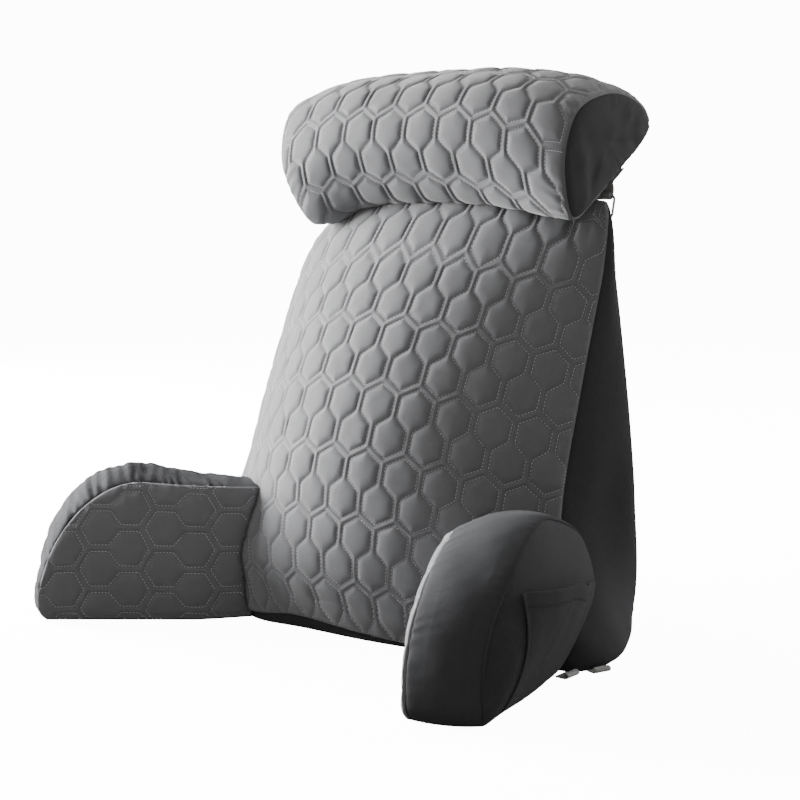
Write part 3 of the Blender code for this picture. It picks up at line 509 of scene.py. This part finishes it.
def front_panel():
    """The front's face, its places on the flat honeycomb and the quilt's rise over it. Near the floor
    the cloth is drawn under, which leans its cells to the right."""
    u = np.linspace(-1, 1, 281)
    low = panel_low(u)
    run = low + (PANEL_HIGH - low) * np.linspace(0, 1, 289)[:, None]
    face = back_front(u, run)
    wide = lengths(face, 1)
    edge = np.minimum.reduce([wide, wide[:, -1:] - wide, run - low, PANEL_HIGH - run])
    edge = np.maximum(edge, 0)
    drawn_under = (np.maximum(0, 19 - run) / 15)**1.3
    across = wide - wide[:, [len(u) // 2]] + PANEL_SHIFT + np.maximum(0, u)**2
    across = across - np.clip(0.77 - 1.3 * u, 0, 1.6) * CELL * drawn_under
    down = (43.35 - run - 0.035 * np.maximum(0, run - 32) - 4.26 * u**2) * 1.05 + 0.6 * drawn_under
    return face, across, down, quilt_rise(across, down, edge, 0.4, 3, 0.05 * puckers(run, edge, seed=5))


quilt_cloth = brushed_cloth("grey quilted cloth", "quilted_grey_cloth", QUILT_GREY, sheen=0.35, gloss=0.22)
thread_finish = Finish("light grey thread", "quilted_grey_cloth", Sheen_Weight=0.2, Specular_IOR_Level=0.3)
lay, turn = thread_finish.place_on_cloth()
ply = (lay * (tau / 0.0007) + turn * (tau / 0.004)).sine()
thread_finish.dress(0.5 + 0.4 * ply, THREAD_GREY, 0.62 + 0.1 * ply, ply, 0.00012)

panel = front_panel()
panel_rise = panel[-1]
front_quilt, _ = sewn_quilt("front_quilt", *panel, FORWARD)
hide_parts("back_front_panel")


# ----------------------------------
# The two arms. Each is a stuffed cushion sewn into the side of the back: a quilted inner side, a plain
# gusset over the top and round the nose, and a plain outer side. The left one is the right one mirrored,
# splayed a little more and with a rounder front.
ARM_HEIGHT = 18.4
ARM_NOSE = 13
ARM_OUT = np.array([0.649, 0.761])  # plan direction in which the outer side faces
ARM_FORM = {                            # for the right and the left arm
    "foot": (((13.8, 1.8), (27.8, -20.3)), ((4, 1.1), (31, -21.8))),    # of the quilted side, in plan
    "lean": (4.4, 5.2),                 # how far its top leans out over the seat
    "root_bend": (3.6, 4.6),            # how far it bends outwards at the back
    "outer_nose": (9, 17),          # length over which the outer side comes down to the nose
    "nose_reach": (0, 1.3),           # how much further forward that nose stands
    "drawn": (3.1, 1.8),                # how far the outer seam is drawn in from the widest line
    "fuller": (0, -0.3),              # how much higher the gusset's crown is behind the nose
    "gusset_roll": (0.6, 0.25),         # how far it rolls over the seam of the quilted side
    "creases": (0.012, 0.11),           # height of the soft creases across it
    "gathers": (0.12, 0.18),            # height of the gathers at the quilted side's seam
    "inner_seam": ([14.6, 15.8, 16.5, 17.2, 17.6], [15.6, 16.1, 16.5, 16.9, 17]),     # seam heights
    "outer_seam": ([11, 13.5, 16, 18, 19.2, 19.8, 19.9, 19.9],
                   [10.5, 12, 13.6, 15.6, 17.2, 18.7, 19.2, 19.2]),
    "seed": (41, 57),
    "quilt_seed": (7, 9)}
INNER_PLACES = [0, 0.3, 0.5, 0.7, 1]
OUTER_PLACES = [0, 0.3, 0.45, 0.6, 0.7, 0.8, 0.9, 1]
OUTER_X = [24.9, 29.8, 32.2, 34.3, 35.7, 36.8, 37, 35]
OUTER_Y = [17.5, 11.5, 6.8, 1.6, -2.7, -7.6, -12.6, -16.7]
OUTER_FOOT = [3, 3.4, 3.8, 4.1, 4.6, 4.9, 3.6, 0]


def outside_back(points):
    """How far points stand clear of the back: before its quilted front or beyond its swelling sides,
    each worked out at the point's own height. Below zero they are inside it."""
    x, y, z = np.moveaxis(points, -1, 0)
    side = np.where(x > 0, 1, -1)
    height = np.clip(z, 0, SHOULDER)
    tucked = np.arccos(1 - ramp(height, 0, TUCK)) * TUCK / (0.5 * pi)
    run = np.where(height < TUCK, tucked, height)
    half = half_width(FRONT_WIDTHS, side, run)

    def front_y(x_here):
        return back_front(np.clip(x_here / half, -1, 1), run)[..., 1]

    u = np.clip(x / half, -1, 1)
    i = (run - panel_low(u)) / (PANEL_HIGH - panel_low(u)) * (panel_rise.shape[0] - 1)
    rise = sampled(panel_rise, i, (u + 1) / 2 * (panel_rise.shape[1] - 1))
    slope = np.hypot(1, (front_y(x + 0.2) - front_y(x - 0.2)) / 0.4)
    before = front_y(x) - (rise * 1.12 + AIR) * slope - y
    level = run
    for _ in range(8):
        corner = back_side(side, 0, level)
        share = np.clip((y - corner[..., 1]) / (BACK_REAR - corner[..., 1]), 0, 1)
        here = back_side(side, share, level)
        level = np.clip(level + (z - here[..., 2]), 0, BACK_RUN)
    return np.maximum(before, np.abs(x) - np.abs(here[..., 0]) - 0.40)


def least_where(test, low, high):
    """The least value between two from which on a test holds, by halving."""
    for _ in range(26):
        middle = 0.5 * (low + high)
        holds = test(middle)
        low, high = np.where(holds, low, middle), np.where(holds, middle, high)
    return high


class Arm:
    """The shape of one arm: places along it run from 0, inside the back, to 1 at its nose."""

    def __init__(self, hand):
        self.hand = hand
        for name, (right, left) in ARM_FORM.items():
            setattr(self, name, left if hand == "left" else right)
        self.root, self.nose = (np.array(end) for end in self.foot)
        self.length = float(np.linalg.norm(self.nose - self.root))
        self.forward = (self.nose - self.root) / self.length
        self.out = np.array([-self.forward[1], self.forward[0]])

    def hand_over(self, points):
        """Points on this arm's own side of the pillow."""
        return points * [-1, 1, 1] if self.hand == "left" else points

    def falling(self, along, nose_length):
        """1 along the arm, falling to 0 over the nose as a quarter of an ellipse."""
        reach = np.clip(1 - (1 - along) * self.length / nose_length, 0, 1)
        return np.sqrt(1 - reach**2)

    def raised(self, plan, along, height):
        """Plan points at their height; the nose's lowest cloth is drawn back, to round to the floor."""
        drawn_back = 1.2 * np.maximum(0, 1 - height / 2)**2 * ramp(along, 0.7, 1)**2
        return as_points(*np.moveaxis(plan - self.forward * drawn_back[..., None], -1, 0), height)

    def inner_side(self, along, up):
        """The quilted side: up runs from the floor to its top seam, where it leans out over the seat."""
        falling = self.falling(along, ARM_NOSE)
        height = up * smooth_table(along, INNER_PLACES, self.inner_seam) * falling
        share = height / ARM_HEIGHT
        lean = self.lean * share**2.4 - 0.5 * np.sin(pi * share) * falling
        lean = lean + 0.45 * hump(height, 0, 0.8)
        lean = lean + self.root_bend * np.maximum(0, 1 - along / 0.45)**1.3
        plan = self.root + (self.nose - self.root) * along[..., None] + self.out * lean[..., None]
        return self.raised(plan, along, height)

    def outer_side(self, along, w):
        """The outer side: w runs from its top seam to the floor, widest between, drawn in at its foot."""
        falling = self.falling(along, self.outer_nose)
        x, y, inset, seam_z = (smooth_table(along, OUTER_PLACES, table)
                               for table in (OUTER_X, OUTER_Y, OUTER_FOOT, self.outer_seam))
        wide = as_points(x, y) + self.forward * (self.nose_reach * along**6)[..., None]
        height = seam_z * falling * (1 - w)
        drawn = 1.8 + (self.drawn - 1.8) * ramp(along, 0.35, 0.65)
        shift = drawn * falling * (1 - w)**2 + inset * w**2.4 - 0.7 * falling * np.sin(pi * w)
        plan = wide - ARM_OUT * (shift + 0.4 * hump(height, 0, 0.8))[..., None]
        return self.raised(plan, along, height)

    def skin(self, along, around):
        """The whole cover: round 0 to 1 up the inner side, to 2 over the gusset, to 3 down the outer
        side and to 4 back along the floor; the gusset and the floor are arcs between the two sides."""
        w = np.mod(around, 1)
        inner_top, inner_foot = self.inner_side(along, 1), self.inner_side(along, 0)
        outer_top, outer_foot = self.outer_side(along, 0), self.outer_side(along, 1)
        falling = self.falling(along, ARM_NOSE)
        arch = 4 * w * (1 - w)
        forward = 1.9 * 0.4 * arch * (1 - falling)
        push = as_points(self.forward[0] * forward, self.forward[1] * forward, 0)
        crown = (1.9 + self.fuller * hump(along, 0.5, 0.2)) * arch**0.95
        held = rising(inner_top[..., 2], 2.5)
        roll_in = self.gusset_roll * held * (w / 0.1) * np.exp(1 - w / 0.1)
        roll_out = 0.35 * held * ((1 - w) / 0.09) * np.exp(1 - (1 - w) / 0.09)
        roll_x, roll_y = (ARM_OUT[k] * roll_out - self.out[k] * roll_in for k in (0, 1))
        over = inner_top + (outer_top - inner_top) * w[..., None] + push
        over = over + as_points(roll_x, roll_y, crown * falling)
        below = outer_foot + (inner_foot - outer_foot) * w[..., None] + push
        side = np.floor(around)[..., None]
        return np.select([side == 0, side == 1, side == 2],
                         [self.inner_side(along, w), over, self.outer_side(along, w)], below)

    def sewn_place(self, shape, places):
        """Place along the arm where a line of its cover comes out of the back."""
        return least_where(lambda along: outside_back(self.hand_over(shape(along, places))) > 0,
                           np.zeros(np.shape(places)), 0.8)

    def cleared(self, points):
        """Points moved forward along the arm, where they need it, to stand clear of the back."""
        forward = np.array([*self.forward, 0])

        def is_clear(reach):
            return outside_back(self.hand_over(points + forward * reach[..., None])) > 0

        still = np.zeros(points.shape[:-1])
        reach = np.where(is_clear(still), 0, least_where(is_clear, still, 30))
        return points + forward * reach[..., None]

    def stuffed(self, name):
        """The plain cover, closed inside the back, drawn down at its two long seams."""
        closer = 0.5 - 0.5 * np.cos(np.linspace(0, pi, 57))[:-1]    # to each other near the seams
        around = np.concatenate([np.linspace(0, 1, 33)[:-1], 1 + closer, 2 + closer,
                                 np.linspace(3, 4, 15)[:-1]])
        start = self.sewn_place(self.skin, around)
        along = start + (1 - start) * np.sin(np.linspace(0, 0.5 * pi, 150))[:, None]
        skin = self.skin(along, around)
        round_it, length = lengths(skin, 1), lengths(skin, 0)
        rise = 0.10 * unevenness(0.5 * length, round_it, 9, self.seed + 5)
        rise = rise + self.creases * unevenness(1.7 * length, 0.6 * round_it, 3.6, self.seed + 7)
        rise = rise * np.sin(pi * ramp(around, 1, 2))**0.6
        for seam, gathers, reach in ((1, self.gathers, 1.5), (2, 0.03, 1)):
            column = np.searchsorted(around, [seam])
            away = round_it - round_it[:, column]
            groove = -0.13 * hump(away, 0, 0.13) - 0.08 * np.exp(-np.abs(away) / 0.6)
            gather = gathers * puckers(length[:, column], away, self.seed + seam - 1, 1.5, reach)
            rise = rise + groove + gather
        rise = rise * ((around > 1) & (around < 3)) * ramp(skin[..., 2], 0, 1.5)
        rise = rise * ramp(along - start, 0, 1 / 14)
        skin = skin + outward_normals(skin, UPWARD, at=(40, 60)) * rise[..., None]
        hidden = skin[:1].mean(axis=1, keepdims=True)
        ends = [self.cleared(hidden + (skin[:1] - hidden) * share) for share in (0.2, 0.4, 0.6, 0.8)]
        skin = np.concatenate([*ends, skin])
        flat = np.concatenate([np.zeros((len(ends), len(around), 2)), as_points(round_it, length)])
        piece = make_piece(name, self.hand_over(skin), tube_faces(skin, far_end=False), flat, plain_cloth)
        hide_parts(f"arm_{self.hand}")

    def quilted(self, name):
        """The quilt on the inner side, its honeycomb rows running up and down the arm."""
        ups = np.linspace(0.02, 1, 97)[:, None]
        start = self.sewn_place(self.inner_side, ups)
        along = start + (0.9995 - start) * np.sin(np.linspace(0, 0.5 * pi, 181))
        face = self.inner_side(along, ups)
        climb = lengths(face, 0)
        to_seam, to_nose = climb[-1:] - climb, (1 - along) * self.length
        edge = np.minimum.reduce([climb, to_seam, to_nose, 2 * (along - start) * self.length])
        across, down = climb - 0.3 * CELL, to_nose + 0.15
        rise = quilt_rise(across, down, np.maximum(edge, 0), 0.3, self.quilt_seed,
                          0.08 * puckers(to_nose, to_seam, 61, 1.7, 1.6))
        piece, _ = sewn_quilt(name, face, across, down, rise, np.array([*-self.out, 0]),
                              hand_over=self.hand_over)
        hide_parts(f"arm_{self.hand}_panel")


arms = {hand: Arm(hand) for hand in ("left", "right")}
for hand, arm in arms.items():
    arm.stuffed(f"arm_{hand}_cloth")
    arm.quilted(f"arm_{hand}_quilt")


# ----------------------------------
# The side pocket. One layer of the plain cloth with a doubled hem along its top, sewn to the right arm
# at its two ends and its foot; its open top stands off the arm and gapes at the front.
POCKET_THICK = 0.15
POCKET_PLACES = [0, 0.3, 0.45, 0.6, 0.7, 0.777, 0.833, 0.882, 0.923, 1]  # along the arm
POCKET_EDGE = [0.33, 0.34, 0.385, 0.395, 0.355, 0.315, 0.24, 0.13, 0.12, 0.2]  # its share of the way down


def pocket_sheet(arm):
    """Inner and outer grids of the pocket, which stands off by an arch along it that grows upwards,
    and each point's way along it and down from its top edge."""
    turn_start = 1 - ARM_NOSE / arm.length
    stations = np.concatenate([turn_start * np.arange(3, 6) / 6,
                               turn_start + (1 - turn_start) * np.sin(np.arange(7) * pi / 22)])[::-1]
    across = np.linspace(0, 1, 121)
    up = np.linspace(0, 1, 81)[:, None]
    share = np.interp(up, [0, 1 / 3, 2 / 3, 1], [0.9, 0.52, 0.25, 0])

    def spot(along, share_here):
        edge = smooth_table(along, POCKET_PLACES, POCKET_EDGE)
        return arm.outer_side(along, edge + (1 - edge) * share_here)

    first, rear = stations[0], stations[-1]
    last = np.maximum(arm.sewn_place(spot, share) + 0.02, rear)
    along = np.interp(across, np.linspace(0, 1, len(stations)), stations)
    face = spot(first + (along - first) * (first - last) / (first - rear), share)
    arch = np.sin(pi * np.minimum(1, across / 0.83))
    stand = 1.7 * arch**(0.7 + 1.2 * ramp(across, 0.4, 0.83)) * up**1.3
    stand = np.maximum(stand, 0.35 * up**1.5 * ramp(across, 1 / 3, 0))
    length, height = lengths(face, 1), lengths(face, 0)
    wave = 0.05 * unevenness(length, height, 6, seed=71) * arch * up
    fold = 0.07 * hump(length - 0.55 * height, 2, 0.7) * up * (1 - up) * 4
    proud = AIR + stand + (wave + fold) * ramp(stand, 0, 0.3)
    outside = np.array([*ARM_OUT, 0])
    inner = face + outward_normals(face, outside) * proud[..., None]
    down = height[-1:] - height
    hem = 0.07 * (down < 1.5) - 0.05 * hump(down, 1.55, 0.09) - 0.05 * np.exp(-down / 0.05)
    thick = np.maximum(POCKET_THICK + hem, 0.06) * (1 - 0.6 * ramp(across, 0.9, 1))
    return inner, inner + outward_normals(inner, outside) * thick[..., None], length, down


inner, outer, length, down = pocket_sheet(arms["right"])
pocket = layered_piece("side_pocket", inner, outer, length, down, plain_cloth)
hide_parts("arm_pocket")


# ----------------------------------
# The head roll. A firm three-sided bolster in a plain cover, wrapped in the same quilted cloth as the
# back from end seam to end seam, with plain ends; it arches over the top of the back.
ROLL_HALF = 23.9
ROLL_MIDDLE = (19.5, 58.5)
ROLL_SECTION = np.array([(11.3, 2.9), (8.6, 5.4), (2.7, 6.2), (-4, 4.3), (-6.9, 0.6), (-7.5, -4),
                         (-5.6, -8.9), (-0.6, -6.4), (5, -2.6), (9.3, 0.3)])
ROLL_CROWN = (140, 74)  # grid place on the cover's top
COVER_SHIFT = (0.27 * CELL, -0.9)  # of the honeycomb on it


def curve_between(before, start, end, after, t):
    """A smooth curve from one point to the next, at a share t of the way."""
    return 0.5 * (2 * start + (end - before) * t + (2 * before - 5 * start + 4 * end - after) * t**2
                  + (3 * start - before - 3 * end + after) * t**3)


def roll_face(along, around):
    """The filled roll: its section, a closed curve that around follows from 0 to 1, carried from its
    left seam (-1) to its right (1), fuller and higher in its middle, its lower left corner drawn in."""
    place = np.mod(around, 1) * len(ROLL_SECTION)
    i = np.floor(place).astype(int)
    neighbours = (ROLL_SECTION[(i + k) % len(ROLL_SECTION)] for k in (-1, 0, 1, 2))
    out, up = np.moveaxis(curve_between(*neighbours, (place - i)[..., None]), -1, 0)
    low = ramp(up, 6.2, -8.9)
    middle = 1 - np.abs(along)**2.5
    leftward = np.maximum(0, -along)
    pinch = 1 - 0.05 * np.abs(along)**8
    y = ROLL_MIDDLE[0] + out * pinch * (1 + 0.1 * middle)
    z = ROLL_MIDDLE[1] + up * pinch * (1 + 0.05 * middle) + 3 * middle
    z = z + leftward**1.5 * (1.7 * np.maximum(0, 1 - 2.2 * low) - 0.6 * low**2)
    under = ramp(up, -1, -8.9)**1.6 * middle
    resting = hump(np.mod(around, 1), 0.70, 0.055) * middle
    sag = low**2 * hump(along, -0.72, 0.2)
    x = along * ROLL_HALF + 6.2 * leftward**3 * (0.2 + 0.8 * low**1.7)
    return as_points(x, y + 2.2 * under, z + 0.35 * under - 0.9 * resting - sag)


def stuffed_roll():
    """The plain bolster, its two ends domed as far as their seams let them and gathered round them."""
    around = np.linspace(0, 1, 193)[:-1]
    share = np.sin(np.linspace(0.02, 0.5 * pi, 40))[:, None]
    caps = []
    for end, seed in ((-1, 81), (1, 83)):
        rim = roll_face(end, around)
        centre = np.array([rim[:, 0].mean(), *ROLL_MIDDLE])
        girth = np.linalg.norm(np.diff(rim, axis=0, append=rim[:1]), axis=1).cumsum()
        reach = np.linalg.norm(rim - centre, axis=1)
        away, inwards = (1 - share) * reach, share * reach
        gather = 0.06 * puckers(girth, away, seed, 1.4, 1.2) * rising(away, 0.3)
        sink = 0.10 * unevenness(inwards * np.cos(around * tau), inwards * np.sin(around * tau),
                                 5, seed + 2) * (1 - share**4)
        cap = centre + (rim - centre) * share[..., None]
        cap[..., 0] += end * (0.8 * (1 - share**4)**0.45 + gather + sink)
        caps.append(cap)
    body = roll_face(np.linspace(-1, 1, 31)[1:-1, None], around)
    return np.concatenate([caps[0], body, caps[1][::-1]])


def roll_wrap():
    """The roll's face, its places on the flat honeycomb and the quilt's rise over it."""
    face = roll_face(np.linspace(-1, 1, 281)[:, None], np.linspace(0.001, 0.999, 297))
    round_it, length = lengths(face, 1), lengths(face, 0)
    edge = np.minimum.reduce([length, length[-1:] - length, round_it, round_it[:, -1:] - round_it])
    across, down = face[..., 0] + COVER_SHIFT[0], round_it + COVER_SHIFT[1]
    gathers = 0.11 * puckers(round_it, edge, 15, 1.9, 1.7)
    return face, across, down, quilt_rise(across, down, edge, 0.3, 13, gathers)


bolster = stuffed_roll()
roll_cloth = make_piece("roll_cloth", bolster, tube_faces(bolster), bolster[..., 1:], plain_cloth)
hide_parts("roll_cushion")

roll_quilt, cover = sewn_quilt("roll_quilt", *roll_wrap(), UPWARD, ROLL_CROWN)
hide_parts("roll_cover")


# ----------------------------------
# Straps and rings behind the roll. Two bands of woven webbing are sewn under the roll and two to the
# top of the back; each pair meets at a rounded ring of steel wire, and the roll hangs from them.
STRAP_WIDTH, STRAP_THICK = 2.5, 0.2
STRAP_X = {"left": -18, "right": 22.6}
ROLL_STRAP_LOOP = [(22.78, 53), (22.66, 52.5), (22.55, 52.25), (22.3, 52.14), (22.05, 52.25),
                   (21.94, 52.5), (22, 52.85)]
BACK_STRAP_PATH = [(20.18, 46.4), (20.18, 48), (20.65, 49.1), (21.15, 49.6), (21.34, 49.9),
                   (21.45, 50.15), (21.7, 50.26), (21.95, 50.15), (22.06, 49.9), (22, 49.5)]
STRAP_SEAT = slice(224, 238)  # the columns of the cover's grid that the roll's straps lie on
RING_MIDDLE = (22, 51.2)
RING_HALF = (1.7, 1.335)  # to the middle of its wire, across and up
RING_CORNER = 0.5
RING_LEAN = radians(-13)
WIRE = 0.16
WEBBING_GREY = ((0.24, 0.24, 0.235), (0.36, 0.36, 0.35))
STEEL_GREY = ((0.42, 0.42, 0.43), (0.62, 0.62, 0.63))


def webbing_finish():
    """Woven webbing: close ribs across the band with a herringbone twist in each."""
    finish = Finish("light webbing", "webbing", Sheen_Weight=0.15, Specular_IOR_Level=0.3)
    along, across = finish.place_on_cloth()
    ribs = (along * (tau / 0.0016)).sine()
    yarns = (across * (tau / 0.0012) + 1.5 * ribs).sine()
    weave = 0.5 * ribs + 0.5 * yarns
    wear = finish.cloudiness(0.012)
    finish.dress(0.25 + 0.25 * weave + 0.5 * wear, WEBBING_GREY, 0.7 + 0.12 * wear, weave, 0.0003)
    return finish


def smooth_path(path, per_step=8):
    """A smooth curve through a path's points."""
    path = np.asarray(path, float)
    ends = np.vstack([2 * path[0] - path[1], path, 2 * path[-1] - path[-2]])
    t = np.linspace(0, 1, per_step, endpoint=False)[None, :, None]
    curve = curve_between(*(ends[k:len(ends) - 3 + k, None] for k in range(4)), t)
    return np.vstack([curve.reshape(-1, 2), path[-1:]])


def band(name, path, centre, across, width):
    """A band along a path of (outward, up) points: a flat section with rounded edges carried along it."""
    path = smooth_path(path)
    slope = np.gradient(path, axis=0)
    slope /= np.linalg.norm(slope, axis=1, keepdims=True)
    half, thin = 0.5 * width, 0.5 * STRAP_THICK
    turn = np.linspace(-0.5 * pi, 0.5 * pi, 7)
    edge = as_points(half - thin + thin * np.cos(turn), thin * np.sin(turn))
    top = as_points(np.linspace(half - thin, thin - half, 14)[1:-1], thin)
    section = np.vstack([edge, top, edge[::-1] * [-1, 1], top[::-1] * [1, -1]])
    sideways, proud = section.T
    out = path[:, [0]] - slope[:, [1]] * proud
    up = path[:, [1]] + slope[:, [0]] * proud
    across = across / np.linalg.norm(across)
    points = (centre + across * sideways[:, None] + np.cross(across, UPWARD) * out[..., None]
              + UPWARD * up[..., None])
    pace = lengths(path, 0)
    piece = make_piece(name, points, tube_faces(points), as_points(pace[:, None], sideways), band_finish,
                       sharp=40)
    return piece, float(pace[-1])


def roll_strap_path(x):
    """From its sewn end flat against the quilting under the roll, clear of its cells, to the ring."""
    under = cover[:, STRAP_SEAT]
    under = under[np.abs(under[:, :, 0].mean(axis=1) - x) < STRAP_WIDTH][..., 1:]
    start, end = under[:, -1].mean(axis=0), under[:, 0].mean(axis=0)
    run = (end - start) / np.linalg.norm(end - start)
    away = np.array([-run[1], run[0]])
    lift = ((under - start) @ away).max() + AIR + 0.5 * STRAP_THICK
    seat = [start + (end - start) * share + away * lift for share in (0, 0.5, 1)]
    bend = 0.5 * (seat[-1] + ROLL_STRAP_LOOP[0]) + away * 0.5 * STRAP_THICK
    return np.vstack([seat, [bend], ROLL_STRAP_LOOP])


def wire_ring(name, x):
    """A round wire carried round a rounded rectangle, leaning back as it hangs."""
    angle, tube = np.linspace(0, tau, 97)[:-1, None], np.linspace(0, tau, 17)[:-1]
    side_x, side_z = np.repeat([[1, -1, -1, 1], [1, 1, -1, -1]], 24, axis=1)[..., None]
    reach, proud = RING_CORNER + WIRE * np.cos(tube), WIRE * np.sin(tube)
    flat_x = side_x * (RING_HALF[0] - RING_CORNER) + reach * np.cos(angle)
    flat_z = side_z * (RING_HALF[1] - RING_CORNER) + reach * np.sin(angle)
    back, rise = sin(RING_LEAN), cos(RING_LEAN)
    points = as_points(x + flat_x, RING_MIDDLE[0] + proud * rise - flat_z * back,
                       RING_MIDDLE[1] + proud * back + flat_z * rise)
    points = np.concatenate([points, points[:1]])
    rows, columns = points.shape[:2]
    flat = as_points(np.linspace(0, 12, rows)[:, None], np.linspace(0, 1, columns))
    return make_piece(name, points, quads(rows, columns, wrap=True), flat, steel_finish)


band_finish = webbing_finish()
steel_finish = Finish("steel wire", "steel", Metallic=1)
scuffs = steel_finish.cloudiness(0.0012, 4)
steel_finish.dress(scuffs, STEEL_GREY, 0.2 + 0.2 * scuffs, scuffs, 0.00003)

for side, x in STRAP_X.items():
    wire = wire_ring(f"wire_ring_{side}", x)
    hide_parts(f"strap_ring_{side}")
    for holder, path, hangs_from in (("roll", roll_strap_path(x), "roll_quilt"),
                                     ("back", BACK_STRAP_PATH, "back_cloth")):
        strap, strap_length = band(f"{holder}_webbing_{side}", path, (x, 0, 0),
                                   np.array([-1, 0, 0]), STRAP_WIDTH)
        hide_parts(f"{holder}_strap_{side}")


# ----------------------------------
# The foot tabs. Two short pieces of the same webbing are sewn into the right edge of the back's foot,
# and their free ends curl up off the floor.
TAB_WIDTH = 2.2
TAB_PATH = [(0, 0.13), (0.5, 0.13), (1, 0.14), (1.4, 0.2), (1.64, 0.4), (1.55, 0.62), (1.25, 0.68)]
TAB_Y = {"front": 2.5, "rear": 6.6}
TAB_AIR = 0.13  # from the widest place of the foot beside it

foot_edge = back_side(1, np.linspace(0, 1, 7), 0)
for name, y in TAB_Y.items():
    places = y + np.linspace(-0.5, 0.5, 9) * TAB_WIDTH
    spots = as_points(np.interp(places, foot_edge[:, 1], foot_edge[:, 0]), places, 0)
    across = (spots[-1] - spots[0]) / np.linalg.norm(spots[-1] - spots[0])
    away = np.cross(across, UPWARD)
    centre = spots[4] + away * (((spots - spots[4]) @ away).max() + TAB_AIR)
    tab, tab_length = band(f"foot_tab_{name}", TAB_PATH, centre, across, TAB_WIDTH)
    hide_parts(f"base_tab_{name}")


# ----------------------------------
# Floor, light and camera. A plain pale floor and backdrop that glow to the camera alone; one strong soft
# light low on the left, a weak one above in front and a weak one behind; and the photograph's own view.
STAGE_REACH = 30
STAGE_PALE, BOUNCE_PALE = 0.97, 0.70
STAGE_GLOW = 13
CAMERA_DOWN, CAMERA_ROUND = 7.28, 40.46  # degrees, from level and from the front


def stage_mesh(name, points, faces, pale, glow):
    """A pale surface of the studio, which can glow."""
    mesh = bpy.data.meshes.new(name)
    mesh.from_pydata(points, [], faces)
    colour = (pale, pale, pale, 1)
    finish = Finish(name, Roughness=0.9, Specular_IOR_Level=0.1, Base_Color=colour,
                    Emission_Color=colour, Emission_Strength=glow)
    mesh.materials.append(finish.material)
    thing = put_in_scene(name, mesh)
    return thing


def soft_light(name, place, target, size, power):
    """A round lamp turned to its target."""
    lamp = bpy.data.lights.new(name, "AREA")
    lamp.shape = "DISK"
    lamp.size = size
    lamp.energy = power
    thing = put_in_scene(name, lamp)
    thing.location = place
    thing.rotation_mode = "QUATERNION"
    thing.rotation_quaternion = (Vector(target) - Vector(place)).to_track_quat("-Z", "Y")


ring = [(STAGE_REACH * cos(a), STAGE_REACH * sin(a)) for a in np.linspace(0, tau, 65)[:-1]]
disc = [list(range(len(ring)))]
floor = stage_mesh("pale_floor", [(*spot, -0.0003) for spot in ring], disc, STAGE_PALE, STAGE_GLOW)
bounce = stage_mesh("floor_bounce", [(*spot, -0.002) for spot in ring], disc, BOUNCE_PALE, 0)
backdrop = stage_mesh("pale_backdrop", [(*spot, z) for z in (0, 20) for spot in ring],
                      quads(2, len(ring), wrap=True, flip=True), STAGE_PALE, STAGE_GLOW)
for pale in (floor, backdrop):
    pale.visible_diffuse = False
    pale.visible_glossy = False
bounce.visible_camera = False

world = bpy.data.worlds.new("studio")
world.use_nodes = True
sky = world.node_tree.nodes["Background"].inputs
sky["Color"].default_value = (1, 0.97, 0.95, 1)
sky["Strength"].default_value = 0.48
bpy.context.scene.world = world

soft_light("key", place=(-3.1, -0.70, 0.97), target=(0, 0, 0.3), size=2, power=815)
soft_light("upper_fill", place=(-0.6, -1.5, 2.2), target=(-0.2, -0.1, 0.1), size=1.6, power=12)
soft_light("rear_fill", place=(1.4, 3.1, 1.5), target=(0, 0, 0.3), size=2.6, power=95)

camera = bpy.data.cameras.new("camera")
camera.lens = 65.27
camera.sensor_width = 36
eye = put_in_scene("camera", camera)
eye.location = (1.17445, -1.3128, 0.5026)
eye.rotation_euler = (radians(90 - CAMERA_DOWN), 0, radians(CAMERA_ROUND))
bpy.context.scene.camera = eye
